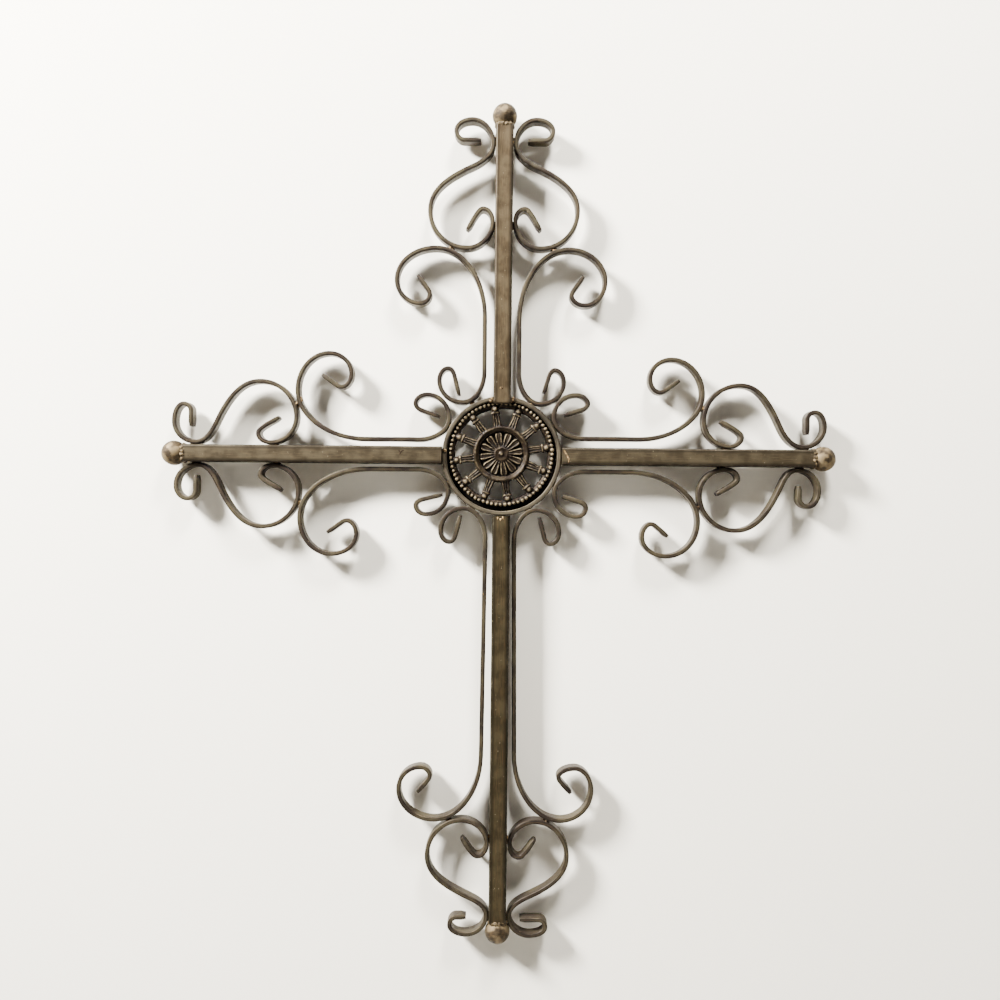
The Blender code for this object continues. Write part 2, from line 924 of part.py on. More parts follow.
def dome_shape(radius: float, rise: float, face: float, sides: int) -> bmesh.types.BMesh:
    """A round boss that stands proud of a face."""
    shape = bmesh.new()
    levels = ((1.0, -DISC_THICKNESS / 2), (1.0, 0.25 * rise), (0.8, 0.7 * rise), (0.42, 0.95 * rise))
    rings = []
    for share, height in levels:
        spots = [polar(radius * share, math.tau * i / sides, face - height) for i in range(sides)]
        rings.append([shape.verts.new(spot) for spot in spots])
    joined_rings(shape, rings, False)
    shape.faces.new(rings[0])
    shape.faces.new(rings[-1])
    return shape


def dish_shape(radius: float, top: float, face: float) -> bmesh.types.BMesh:
    """The casting's inner ring, round in section, with the rosette's disc inside it."""
    levels = (
        (radius, face + DISC_THICKNESS),
        (radius, top + RING_WIDTH * 0.38),
        (radius - RING_WIDTH * 0.3, top),
        (radius - RING_WIDTH * 0.7, top),
        (radius - RING_WIDTH, top + RING_WIDTH * 0.38),
        (radius - RING_WIDTH, face),
    )
    shape = bmesh.new()
    rings = []
    for reach, depth in levels:
        spots = [polar(reach, math.tau * i / DISH_SIDES, depth) for i in range(DISH_SIDES)]
        rings.append([shape.verts.new(spot) for spot in spots])
    joined_rings(shape, rings, False)
    shape.faces.new(rings[0])
    shape.faces.new(rings[-1])
    return shape


def build_medallion(finish: bpy.types.Material, root: bpy.types.Object) -> bpy.types.Object:
    """The casting that sits inside the hoop: one body made by joining its parts."""
    back = -CASTING_SETBACK
    top = back - CASTING_DEPTH
    seat = HOOP_RADIUS - STRIP_THICKNESS - GAP
    bead = seat - FLANGE_WIDTH
    rim_inner = bead - RIM_WIDTH
    section = [
        Corner(seat, back),
        Corner(seat, top + FLANGE_RECESS),
        Corner(bead, top + FLANGE_RECESS, BEAD_BULGE, CASTING_HUB),
        Corner(bead - RIM_WIDTH * 0.2, top, BEAD_BULGE, CASTING_HUB),
        Corner(rim_inner, back, 0, CASTING_HUB),
    ]
    made = add_object("centre_medallion", turned_shape(section, 2 * BEAD_COUNT), finish, root)
    ring_radius = RING_DIAMETER / 2
    face = top + DISC_RECESS
    boss_radius = BOSS_DIAMETER / 2
    shapes = [dish_shape(ring_radius, top, face)]
    shapes += spoke_shapes(ring_radius - RING_WIDTH * 0.5, rim_inner + RIM_WIDTH * 0.2, top)
    shapes += petal_shapes(boss_radius * 0.8, ring_radius - RING_WIDTH - 0.2 * MM, face)
    shapes.append(dome_shape(boss_radius, BOSS_RISE, face, 16))
    for number, shape in enumerate(shapes):
        piece = add_object(f"medallion_relief_{number:02d}", shape, finish, root)
        combine(made, cutter(piece), "UNION")
    return made


def clear_scene() -> None:
    for old in list(bpy.data.objects):
        bpy.data.objects.remove(old, do_unlink=True)


def main() -> None:
    clear_scene()
    root = bpy.data.objects.new("wall_cross", None)
    bpy.context.scene.collection.objects.link(root)
    bar_bronze = material("bar bronze", (0.165, 0.105, 0.060), 0.50, 0.75)
    strip_bronze = material("strip bronze", (0.098, 0.080, 0.058), 0.52, 0.75)
    ball_bronze = material("ball bronze", (0.200, 0.130, 0.075), 0.38, 0.85)
    cast_bronze = material("cast bronze", (0.120, 0.088, 0.056), 0.55, 0.70)
    build_hoop(strip_bronze, root)
    build_medallion(cast_bronze, root)
    for arm in ARMS:
        build_bar(arm, bar_bronze, root)
        build_ball(arm, ball_bronze, root)
        for side in arm.sides:
            long, small = scroll_pair(arm, side)

            def place(run: float, out: float, hand: int = side.hand, holder: Arm = arm) -> tuple:
                return holder.place(run, out, hand)

            add_object(f"{arm.name}_{side.name}_long_scroll", strip_shape(long, place), strip_bronze, root)
            add_object(f"{arm.name}_{side.name}_s_scroll", strip_shape(small, place), strip_bronze, root)


main()
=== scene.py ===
"""Looks of the wall cross: bars, balls, bent strips, hoop, cast medallion and welds.

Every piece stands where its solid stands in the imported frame: the cross faces -Y,
+Z is up, and the origin is on the back of the upper bar.
"""

import logging
import math
from collections.abc import Callable
from dataclasses import dataclass, field, replace
from enum import Enum
from functools import partial

import bmesh
import bpy
import numpy as np
from mathutils import Matrix, Vector, noise


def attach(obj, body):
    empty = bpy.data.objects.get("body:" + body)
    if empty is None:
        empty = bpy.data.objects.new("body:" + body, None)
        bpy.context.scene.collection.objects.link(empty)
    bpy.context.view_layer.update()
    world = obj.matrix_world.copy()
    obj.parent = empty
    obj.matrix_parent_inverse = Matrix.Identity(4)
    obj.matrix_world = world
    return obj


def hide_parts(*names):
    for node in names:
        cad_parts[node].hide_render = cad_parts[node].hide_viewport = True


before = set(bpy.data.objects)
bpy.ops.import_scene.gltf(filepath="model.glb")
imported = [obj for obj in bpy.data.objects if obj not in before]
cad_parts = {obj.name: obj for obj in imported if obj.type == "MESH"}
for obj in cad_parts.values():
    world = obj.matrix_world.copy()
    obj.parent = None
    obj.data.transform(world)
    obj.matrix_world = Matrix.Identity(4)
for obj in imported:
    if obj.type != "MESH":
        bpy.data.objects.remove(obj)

MM = 0.001
LOG = logging.getLogger("wall_cross")

# Keeps the noise vectors the same each run, where they would start from the clock
NOISE_SEED = 7

# Stock that the smith worked from
BAR_WIDTH = 12.7 * MM
BAR_CORNER = 1.7 * MM
STRIP_THICKNESS = 3.2 * MM
STRIP_DEPTH = 9.5 * MM
STRIP_CORNER = 0.75 * MM
BALL_DIAMETER = 18.4 * MM
GAP = 0.3 * MM
WELD_ROOM = 1.0 * MM

# Distance from the centre of the hoop to the centre of each ball
REACH_UP = 247.0 * MM
REACH_DOWN = 345.0 * MM
REACH_LEFT = 238.0 * MM
REACH_RIGHT = 233.5 * MM
BALL_FLAT = 2.0 * MM
HOOK_BELOW_BALL = 24.0 * MM
HOOP_DIAMETER = 86.5 * MM
TONGUE_LAP = 5.8 * MM

HOOP_RADIUS = HOOP_DIAMETER / 2
BALL_RADIUS = BALL_DIAMETER / 2
BALL_SEAT = BALL_RADIUS - BALL_FLAT
STRIP_OFF_BAR = BAR_WIDTH / 2 + GAP + STRIP_THICKNESS / 2
STRIP_OFF_STRIP = STRIP_THICKNESS + GAP
WELD_OFF_STRIP = STRIP_OFF_STRIP + WELD_ROOM
STRIP_OFF_HOOP = HOOP_RADIUS + GAP + STRIP_THICKNESS / 2
STRIP_OFF_BALL = BALL_RADIUS + GAP + STRIP_THICKNESS / 2
HUB = Vector((0, 0, HOOK_BELOW_BALL - REACH_UP))
BAR_CENTRE = -BAR_WIDTH / 2
STRIP_CENTRE = -STRIP_DEPTH / 2
ROUND_HANDLE = 4 / 3 * math.tan(math.pi / 8)
BEND_STEP = math.radians(4)
RUN_STEP = 4.0 * MM
SHARP_EDGE = math.radians(50)

# Filed tips: the width left at the very end, and how much of that easing the depth shares
TIP_WIDTH = 0.72
TIP_THINNING = 0.6

# Paint patterns: features to the metre, and how far the brush drew its marks out
FINE_GRAIN = 1400
FLECKS = 620
BRUSH_STRETCH = 0.06

# What a node's input takes, and what gives world X and Z of a (run, out) point
Value = bpy.types.NodeSocket | float | tuple
Place = Callable[[float, float], tuple]


class Slot(Enum):
    """The record's material slots."""

    BAR = "bar"
    BALL = "ball"
    STRIP = "strip"
    CASTING = "casting"


@dataclass(frozen=True)
class Wires:
    """The nodes of a material or of the world, with short ways to make and join them.

    Args:
        nodes: the nodes.
        links: the links between them.
    """

    nodes: bpy.types.Nodes
    links: bpy.types.NodeLinks

    def plug(self, value: Value, socket: bpy.types.NodeSocket) -> None:
        """Links a socket to another, or sets it to a number or an (r, g, b).

        Args:
            value: a socket, a number or an (r, g, b).
            socket: what takes it.
        """
        if isinstance(value, bpy.types.NodeSocket):
            self.links.new(value, socket)
        elif isinstance(value, tuple):
            socket.default_value = (*value, 1)
        else:
            socket.default_value = value

    def attribute(self, name: str, output: str) -> bpy.types.NodeSocket:
        """An output of what the mesh stores under a name.

        Args:
            name: the name.
            output: the output's name.

        Returns:
            The output's socket.
        """
        stored = self.nodes.new("ShaderNodeAttribute")
        stored.attribute_name = name
        return stored.outputs[output]

    def blend(self, share: Value, first: Value, second: Value) -> bpy.types.NodeSocket:
        """Mixes two colours by a share.

        Args:
            share: a socket or a number.
            first: a socket or an (r, g, b) shown where the share is 0.
            second: a socket or an (r, g, b) shown where the share is 1.

        Returns:
            The mixed colour's socket.
        """
        mix = self.nodes.new("ShaderNodeMix")
        mix.data_type = "RGBA"
        mix.clamp_factor = True
        for number, value in ((0, share), (6, first), (7, second)):
            self.plug(value, mix.inputs[number])
        return mix.outputs[2]

    def between(
        self, value: bpy.types.NodeSocket, low: float, high: float, start: float = 0.0, end: float = 1.0
    ) -> bpy.types.NodeSocket:
        """Maps a value from a range to another, held at its ends.

        Args:
            value: the socket that is mapped.
            low: the value that gives start.
            high: the value that gives end.
            start: the result at low.
            end: the result at high.

        Returns:
            The mapped value's socket.
        """
        ramp = self.nodes.new("ShaderNodeMapRange")
        ramp.clamp = True
        ramp.interpolation_type = "SMOOTHSTEP"
        self.links.new(value, ramp.inputs["Value"])
        for name, number in (("From Min", low), ("From Max", high), ("To Min", start), ("To Max", end)):
            ramp.inputs[name].default_value = number
        return ramp.outputs["Result"]

    def sum(self, operation: str, first: Value, second: Value) -> bpy.types.NodeSocket:
        """Does one sum, such as MULTIPLY, on two sockets or numbers.

        Args:
            operation: the sum's name.
            first: a socket or a number.
            second: a socket or a number.

        Returns:
            The result's socket.
        """
        node = self.nodes.new("ShaderNodeMath")
        node.operation = operation
        self.plug(first, node.inputs[0])
        self.plug(second, node.inputs[1])
        return node.outputs[0]

    def plus(self, base: Value, value: Value, share: float) -> bpy.types.NodeSocket:
        """A base with a share of a value on top."""
        return self.sum("ADD", base, self.sum("MULTIPLY", value, share))

    def pattern(
        self, where: bpy.types.NodeSocket, scale: float, detail: float = 3.0, rough: float = 0.6
    ) -> bpy.types.NodeSocket:
        """A cloudy pattern's value.

        Args:
            where: the socket of the coordinates.
            scale: how many features there are to the metre.
            detail: how many finer layers it has.
            rough: how strong the finer layers are.

        Returns:
            The pattern's value socket.
        """
        cloud = self.nodes.new("ShaderNodeTexNoise")
        cloud.inputs["Scale"].default_value = scale
        cloud.inputs["Detail"].default_value = detail
        cloud.inputs["Roughness"].default_value = rough
        self.links.new(where, cloud.inputs["Vector"])
        return cloud.outputs["Fac"]


@dataclass(frozen=True)
class BronzePaint:
    """Antiqued bronze paint on steel: a dark wash over a warm body, rubbed bright on the edges.

    Args:
        name: the material's name.
        shade: colour of the dark wash.
        body: colour of the paint's body.
        warm: colour of its warmer patches.
        rubbed: colour where it is rubbed.
        metallic: how metallic it looks.
        glare: how strong its white reflections are.
        low_rough: roughness of the rubbed places.
        high_rough: roughness of the wash.
        cloud: patches to the metre.
        streak: brush marks to the metre, across the brush.
        rub_from: edge value at which the rubbing starts.
        rub_strength: how far the rubbing covers.
        corner_darkening: how much darker the paint is made along the corners.
        speck: how much of the surface has bright specks.
        dent: depth of the paint's unevenness.
    """

    name: str
    shade: tuple
    body: tuple
    warm: tuple
    rubbed: tuple
    metallic: float = 0.6
    glare: float = 0.12
    low_rough: float = 0.34
    high_rough: float = 0.6
    cloud: float = 60.0
    streak: float = 900.0
    rub_from: float = 0.25
    rub_strength: float = 0.8
    corner_darkening: float = 0.0
    speck: float = 0.5
    dent: float = 0.12

    def make(self) -> bpy.types.Material:
        """Builds the material.

        Returns:
            The material.
        """
        made = bpy.data.materials.new(self.name)
        made.use_nodes = True
        wires = Wires(made.node_tree.nodes, made.node_tree.links)
        shader = wires.nodes["Principled BSDF"]
        shader.inputs["Metallic"].default_value = self.metallic
        shader.inputs["Specular IOR Level"].default_value = self.glare
        place = wires.nodes.new("ShaderNodeTexCoord").outputs["Object"]
        brushed = wires.nodes.new("ShaderNodeMapping")
        brushed.inputs["Scale"].default_value = (BRUSH_STRETCH, 1, 1)
        wires.links.new(wires.attribute("flow", "Vector"), brushed.inputs["Vector"])
        patches = wires.pattern(place, self.cloud, 4, 0.62)
        streaks = wires.pattern(brushed.outputs["Vector"], self.streak)
        fine = wires.pattern(place, FINE_GRAIN, 2)
        flecks = wires.pattern(place, FLECKS, 2, 0.5)
        wires.links.new(self.colour(wires, patches, streaks, fine, flecks), shader.inputs["Base Color"])
        gloss = wires.plus(wires.sum("MULTIPLY", patches, 0.5), fine, 0.5)
        rough = wires.between(gloss, 0.35, 0.65, self.low_rough, self.high_rough)
        wires.links.new(rough, shader.inputs["Roughness"])
        height = wires.plus(wires.sum("MULTIPLY", streaks, 0.6), fine, 0.5)
        bump = wires.nodes.new("ShaderNodeBump")
        bump.inputs["Strength"].default_value = 0.55
        bump.inputs["Distance"].default_value = self.dent * MM
        wires.links.new(wires.sum("ADD", height, patches), bump.inputs["Height"])
        wires.links.new(bump.outputs["Normal"], shader.inputs["Normal"])
        return made

    def colour(
        self,
        wires: Wires,
        patches: bpy.types.NodeSocket,
        streaks: bpy.types.NodeSocket,
        fine: bpy.types.NodeSocket,
        flecks: bpy.types.NodeSocket,
    ) -> bpy.types.NodeSocket:
        """The paint's colour, from its patches to the painted shade in its recesses.

        Args:
            wires: the material's nodes.
            patches: the broad pattern.
            streaks: the pattern along the brush's way.
            fine: the finest pattern.
            flecks: the pattern of specks and pits.

        Returns:
            The colour's socket.
        """
        edge = wires.attribute("rub", "Fac")
        base = wires.blend(wires.between(patches, 0.38, 0.62), self.shade, self.body)
        base = wires.blend(wires.between(streaks, 0.45, 0.72, 0, 0.75), base, self.warm)
        # Darker along the corners, by the stored corner value
        wash = wires.between(edge, 0.2, 0.9, 0, self.corner_darkening)
        base = wires.blend(wash, base, tuple(0.45 * c for c in self.shade))
        worn = wires.plus(wires.plus(edge, patches, 0.5), fine, 0.4)
        rub = wires.between(worn, self.rub_from + 0.45, self.rub_from + 0.95, 0, self.rub_strength)
        base = wires.blend(rub, base, self.rubbed)
        base = wires.blend(wires.between(flecks, 0.70, 0.78, 0, self.speck), base, self.rubbed)
        base = wires.blend(wires.between(flecks, 0.30, 0.22, 0, 0.5), base, self.shade)
        # Painted shade: where the stored recess value is high, the colour goes towards black, deepening the
        # real dark wash
        deep = wires.between(wires.attribute("recess_painted_shade", "Fac"), 0.15, 0.85, 0, 0.93)
        return wires.blend(deep, base, tuple(0.12 * c for c in self.shade))


BAR_PAINT = BronzePaint(
    "bar bronze paint",
    shade=(0.030, 0.023, 0.014),
    body=(0.044, 0.035, 0.021),
    warm=(0.059, 0.045, 0.026),
    rubbed=(0.237, 0.203, 0.139),
    metallic=0.55,
    cloud=90.0,
    streak=1500.0,
    rub_from=0.95,
    rub_strength=0.5,
    corner_darkening=0.9,
    speck=0.55,
)
# The upper bar's paint is a lighter copy of the bar paint: painted light, for the top arm that catches more
# light
UPPER_BAR_LIT_PAINT = replace(
    BAR_PAINT,
    name="upper bar bronze paint",
    shade=(0.035, 0.025, 0.014),
    body=(0.052, 0.039, 0.022),
    warm=(0.070, 0.049, 0.027),
)
# The lower bar's paint is a darker copy of the bar paint: painted shade, for the bottom arm that catches
# less light
LOWER_BAR_SHADED_PAINT = replace(
    BAR_PAINT,
    name="lower bar bronze paint",
    shade=(0.022, 0.017, 0.009),
    body=(0.034, 0.027, 0.014),
    warm=(0.054, 0.035, 0.017),
)
STRIP_PAINT = BronzePaint(
    "strip bronze paint",
    shade=(0.021, 0.016, 0.013),
    body=(0.049, 0.042, 0.025),
    warm=(0.071, 0.051, 0.028),
    rubbed=(0.298, 0.234, 0.142),
    metallic=0.5,
    rub_from=0.9,
    rub_strength=0.5,
    corner_darkening=0.75,
)
HOOP_PAINT = replace(
    STRIP_PAINT,
    name="hoop bronze paint",
    shade=(0.034, 0.029, 0.022),
    body=(0.072, 0.061, 0.040),
    warm=(0.092, 0.071, 0.043),
)
BALL_PAINT = BronzePaint(
    "ball bronze paint",
    shade=(0.013, 0.009, 0.005),
    body=(0.033, 0.024, 0.014),
    warm=(0.056, 0.038, 0.019),
    rubbed=(0.122, 0.091, 0.050),
    metallic=0.45,
    low_rough=0.50,
    high_rough=0.72,
    cloud=200,
    speck=0.8,
    dent=0.3,
)
CAST_PAINT = BronzePaint(
    "casting bronze paint",
    shade=(0.005, 0.003, 0.002),
    body=(0.014, 0.009, 0.005),
    warm=(0.021, 0.015, 0.007),
    rubbed=(0.175, 0.14, 0.085),
    metallic=0.5,
    cloud=160,
    rub_from=0.66,
    rub_strength=0.9,
    dent=0.25,
)
WELD_PAINT = BronzePaint(
    "weld bronze paint",
    shade=(0.014, 0.009, 0.005),
    body=(0.031, 0.022, 0.012),
    warm=(0.058, 0.035, 0.016),
    rubbed=(0.231, 0.153, 0.075),
    cloud=300,
    rub_from=0.4,
    speck=0.6,
    dent=0.35,
)
COPPER_WELD_PAINT = replace(
    WELD_PAINT,
    name="bright copper weld",
    shade=(0.031, 0.017, 0.007),
    body=(0.080, 0.045, 0.019),
    warm=(0.111, 0.060, 0.025),
    rubbed=(0.288, 0.195, 0.096),
    rub_from=0.2,
)
# Painted shade: near-black paint on a raised lump, standing in for the shade inside the dent of the left
# bar's nick
NICK_SHADE_PAINT = replace(
    WELD_PAINT,
    name="dark nick",
    shade=(0.004, 0.003, 0.002),
    body=(0.010, 0.007, 0.004),
    warm=(0.018, 0.011, 0.006),
    rubbed=(0.040, 0.026, 0.014),
)


@dataclass(frozen=True)
class StagePaint:
    """Plain matt paint of the floor and the backdrop, clear when seen from behind.

    Args:
        name: the material's name.
        colour: its colour.
        mottle: how much the colour varies.
    """

    name: str
    colour: tuple
    mottle: float = 0.03

    def make(self) -> bpy.types.Material:
        """Builds the material.

        Returns:
            The material.
        """
        made = bpy.data.materials.new(self.name)
        made.use_nodes = True
        wires = Wires(made.node_tree.nodes, made.node_tree.links)
        nodes = wires.nodes
        links = wires.links
        shader = nodes["Principled BSDF"]
        shader.inputs["Roughness"].default_value = 0.95
        shader.inputs["Specular IOR Level"].default_value = 0.1
        place = nodes.new("ShaderNodeTexCoord").outputs["Object"]
        darker = tuple(c * (1 - self.mottle) for c in self.colour)
        mottled = wires.blend(wires.pattern(place, 5, 2), darker, self.colour)
        links.new(mottled, shader.inputs["Base Color"])
        clear = nodes.new("ShaderNodeBsdfTransparent")
        seen = nodes.new("ShaderNodeMixShader")
        side = nodes.new("ShaderNodeNewGeometry").outputs["Backfacing"]
        links.new(side, seen.inputs["Fac"])
        links.new(shader.outputs[0], seen.inputs[1])
        links.new(clear.outputs[0], seen.inputs[2])
        links.new(seen.outputs[0], nodes["Material Output"].inputs["Surface"])
        return made


def put(name: str, data: bpy.types.ID) -> bpy.types.Object:
    """Adds a new object to the scene.

    Args:
        name: its name.
        data: its mesh, light or camera.

    Returns:
        The object.
    """
    made = bpy.data.objects.new(name, data)
    bpy.context.scene.collection.objects.link(made)
    return made


def face_outward(mesh: bpy.types.Mesh) -> None:
    """Turns every face of a closed mesh outward.

    Args:
        mesh: the mesh, changed in place.
    """
    work = bmesh.new()
    work.from_mesh(mesh)
    bmesh.ops.recalc_face_normals(work, faces=work.faces)
    work.to_mesh(mesh)
    work.free()


def ring_faces(rings: int, count: int, closed: bool) -> list:
    """Faces between rings of points.

    Args:
        rings: how many rings there are.
        count: how many points each has.
        closed: whether the last ring is joined to the first.

    Returns:
        Lists of point numbers.
    """
    faces = []
    for i in range(rings if closed else rings - 1):
        here = i * count
        there = (i + 1) % rings * count
        for j in range(count):
            k = (j + 1) % count
            faces.append([here + j, here + k, there + k, there + j])
    return faces


def round_skin(radius: float, fineness: int) -> tuple:
    """Points and faces of a ball about the origin.

    Args:
        radius: its radius.
        fineness: how often its faces are split.

    Returns:
        The points, and lists of point numbers.
    """
    ball = bmesh.new()
    bmesh.ops.create_icosphere(ball, subdivisions=fineness, radius=radius)
    points = [vert.co.copy() for vert in ball.verts]
    faces = [[vert.index for vert in face.verts] for face in ball.faces]
    ball.free()
    return points, faces


@dataclass
class Shell:
    """A closed surface with its wear.

    Args:
        points: the points, one row each.
        faces: lists of point numbers.
        rub: rubbing at each point, 0 to 1.
        flow: distance along and across the brush's way at each point.
    """

    points: np.ndarray
    faces: list
    rub: np.ndarray
    flow: np.ndarray

    @staticmethod
    def joined(shells: list) -> "Shell":
        """One shell that holds several.

        Args:
            shells: the shells.

        Returns:
            The one shell.
        """
        start = 0
        faces = []
        for shell in shells:
            faces += [[number + start for number in face] for face in shell.faces]
            start += len(shell.points)
        return Shell(
            np.vstack([s.points for s in shells]),
            faces,
            np.concatenate([s.rub for s in shells]),
            np.vstack([s.flow for s in shells]),
        )

    def roughened(self, depth: float, scale: float, seed: float = 0.0) -> "Shell":
        """The shell with its points moved by a soft pattern.

        Args:
            depth: how far a point may move.
            scale: features to the metre.
            seed: a shift of the pattern.

        Returns:
            The moved shell.
        """
        shift = Vector((seed, 2 * seed, 3 * seed))
        moved = [p + depth * np.array(noise.noise_vector(Vector(p) * scale + shift)) for p in self.points]
        return Shell(np.array(moved), self.faces, self.rub, self.flow)

    def mesh(self, name: str) -> bpy.types.Mesh:
        """The shell as a smooth mesh with its wear stored on it.

        Args:
            name: the mesh's name.

        Returns:
            The mesh.
        """
        mesh = bpy.data.meshes.new(name)
        mesh.from_pydata(self.points.tolist(), [], self.faces)
        face_outward(mesh)
        mesh.shade_smooth()
        mesh.set_sharp_from_angle(angle=SHARP_EDGE)
        rub = mesh.attributes.new("rub", "FLOAT", "POINT")
        rub.data.foreach_set("value", self.rub.astype(np.float32))
        flow = mesh.attributes.new("flow", "FLOAT_VECTOR", "POINT")
        flow.data.foreach_set("vector", self.flow.astype(np.float32).ravel())
        return mesh


@dataclass
class Dresser:
    """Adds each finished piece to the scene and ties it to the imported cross.

    Args:
        paints: the materials made so far, by name.
    """

    paints: dict = field(default_factory=dict)

    def paint(self, finish: BronzePaint) -> bpy.types.Material:
        """The finish's material, made once.

        Args:
            finish: the finish.

        Returns:
            The material.
        """
        if finish.name not in self.paints:
            self.paints[finish.name] = finish.make()
        return self.paints[finish.name]

    def add(
        self, name: str, mesh: bpy.types.Mesh, finish: BronzePaint, slot: Slot, nodes: tuple = ()
    ) -> None:
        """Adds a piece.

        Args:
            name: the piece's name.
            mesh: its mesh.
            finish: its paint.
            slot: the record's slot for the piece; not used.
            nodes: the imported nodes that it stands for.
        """
        made = put(name, mesh)
        mesh.materials.clear()
        mesh.materials.append(self.paint(finish))
        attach(made, "root")
        if nodes:
            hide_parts(*nodes)
        LOG.info("%s: %d faces", name, len(mesh.polygons))


@dataclass(frozen=True)
class Section:
    """A bar's or strip's section: a box with rounded corners.

    Args:
        across: its width across the middle line.
        front: its front face, on Y.
        back: its back face, on Y.
        corner: radius of its corners.
        steps: faces round each corner.
    """

    across: float
    front: float
    back: float
    corner: float
    steps: int = 3

    def outline(self) -> tuple:
        """Corner points.

        Returns:
            Offsets across, depths, rubbing and distance round the section, one for each point.
        """
        half = self.across / 2 - self.corner
        shoulder = self.corner * 1.1
        corners = (
            (half, self.back - self.corner, 0.0),
            (-half, self.back - self.corner, 90.0),
            (-half, self.front + self.corner, 180.0),
            (half, self.front + self.corner, 270.0),
        )
        spots = []
        wear = (0.3, 0.8, *([1.0] * (self.steps - 1)), 0.8, 0.3) * len(corners)
        for x, y, turn in corners:
            ways = [math.radians(turn + 90 * i / self.steps) for i in range(self.steps + 1)]
            arc = [(x + self.corner * math.cos(w), y + self.corner * math.sin(w)) for w in ways]
            lead = (arc[0][0] + shoulder * math.sin(ways[0]), arc[0][1] - shoulder * math.cos(ways[0]))
            tail = (arc[-1][0] - shoulder * math.sin(ways[-1]), arc[-1][1] + shoulder * math.cos(ways[-1]))
            spots += [lead, *arc, tail]
        points = np.array(spots)
        gaps = np.linalg.norm(np.roll(points, -1, axis=0) - points, axis=1)
        return points[:, 0], points[:, 1], np.array(wear), np.concatenate(([0], np.cumsum(gaps)[:-1]))


def swept(
    line: np.ndarray,
    section: Section,
    place: Place,
    seed: float,
    tips: tuple = (0.0, 0.0),
    closed: bool = False,
) -> Shell:
    """A section carried along a middle line.

    Args:
        line: (run, out) points of the middle line.
        section: the section.
        place: gives world X and Z of a (run, out) point.
        seed: where the brush's way starts, so that no two pieces match.
        tips: how far each end is eased in.
        closed: whether the line is a closed round.

    Returns:
        The closed shell.
    """
    across, depth, wear, turn = section.outline()
    ahead = np.diff(np.vstack((line, line[:1])) if closed else line, axis=0)
    ahead /= np.linalg.norm(ahead, axis=1)[:, None]
    before = np.roll(ahead, 1, axis=0) if closed else np.vstack((ahead[:1], ahead))
    after = ahead if closed else np.vstack((ahead, ahead[-1:]))
    heading = before + after
    heading /= np.linalg.norm(heading, axis=1)[:, None]
    aside = np.column_stack((-heading[:, 1], heading[:, 0])) / (heading * after).sum(axis=1)[:, None]
    steps = np.linalg.norm(np.diff(line, axis=0), axis=1)
    runs = np.concatenate(([0], np.cumsum(steps)))
    middle = (section.front + section.back) / 2
    points = []
    rub = []
    flow = []
    for spot, side, run in zip(line, aside, runs):
        ease = 1.0
        if not closed:
            for reach, tip in ((run, tips[0]), (runs[-1] - run, tips[1])):
                if tip > 0 and reach < tip:
                    ease = min(ease, TIP_WIDTH + (1 - TIP_WIDTH) * math.sqrt(1 - (1 - reach / tip) ** 2))
        for offset, y, worn, round_it in zip(across, depth, wear, turn):
            x, z = place(*(spot + side * offset * ease))
            points.append((x, middle + (y - middle) * (1 - (1 - ease) * TIP_THINNING), z))
            rub.append(max(worn, 0.9 if ease < 0.97 else 0))
            flow.append((run + seed, round_it + seed, seed))
    count = len(across)
    rings = len(line)
    faces = ring_faces(rings, count, closed)
    if not closed:
        faces.append(list(range(count)))
        faces.append(list(range((rings - 1) * count, rings * count)))
    return Shell(np.array(points), faces, np.array(rub), np.array(flow))


def lump(centre: Vector, size: tuple, seed: float, lumps: float = 0.25, fineness: int = 3) -> Shell:
    """An uneven round drop of weld.

    Args:
        centre: its middle.
        size: its half sizes on X, Y and Z.
        seed: a shift of its unevenness.
        lumps: how uneven it is, as a share of its size.
        fineness: how often its faces are split.

    Returns:
        The closed shell.
    """
    spots, faces = round_skin(1, fineness)
    points = []
    rub = []
    for spot in spots:
        broad = noise.noise(spot * 1.3 + Vector((seed, seed * 0.7, 1.0)))
        wave = broad + 0.4 * noise.noise(spot * 3.4 + Vector((2, seed, 0)))
        swell = 1 + lumps * wave
        points.append([centre[i] + spot[i] * size[i] * swell for i in range(3)])
        rub.append(min(1, max(0, 0.45 + wave)))
    flow = np.array(points) * 0.6 + seed
    return Shell(np.array(points), faces, np.array(rub), flow)


def bend(start: tuple, end: tuple) -> list:
    """Points of a smooth bend between two stations of (run, out, heading), without its first point.

    Args:
        start: the first station.
        end: the last station.

    Returns:
        The points, the last one included.
    """
    first = np.array(start[:2])
    last = np.array(end[:2])
    reach = last - first
    leave, arrive = (np.array((math.cos(way), math.sin(way))) for way in np.radians((start[2], end[2])))
    turn = math.radians(abs(end[2] - start[2]))
    steps = max(2, math.ceil(turn / BEND_STEP), math.ceil(np.linalg.norm(reach) / RUN_STEP))
    if abs(turn - math.pi / 2) < 1e-6:
        handles = (ROUND_HANDLE * abs(reach @ leave), ROUND_HANDLE * abs(reach @ arrive))
    elif turn > 0:
        share = 2 / 3 * math.tan(turn / 4) / math.sin(turn / 2)
        handles = (share * np.linalg.norm(reach),) * 2
    else:
        handles = (np.linalg.norm(reach) / 3,) * 2
    inner = (first + leave * handles[0], last - arrive * handles[1])
    shares = np.linspace(0, 1, steps + 1)[1:, None]
    rest = 1 - shares
    curve = rest**3 * first + 3 * rest**2 * shares * inner[0]
    curve += 3 * rest * shares**2 * inner[1] + shares**3 * last
    return list(curve)


def route(stations: list) -> np.ndarray:
    """The middle line of a bent strip through its stations.

    Args:
        stations: (run, out, heading) of each, with the heading in degrees.

    Returns:
        The line's (run, out) points.
    """
    points = [np.array(stations[0][:2])]
    for start, end in zip(stations, stations[1:]):
        points += bend(start, end)
    return np.array(points)


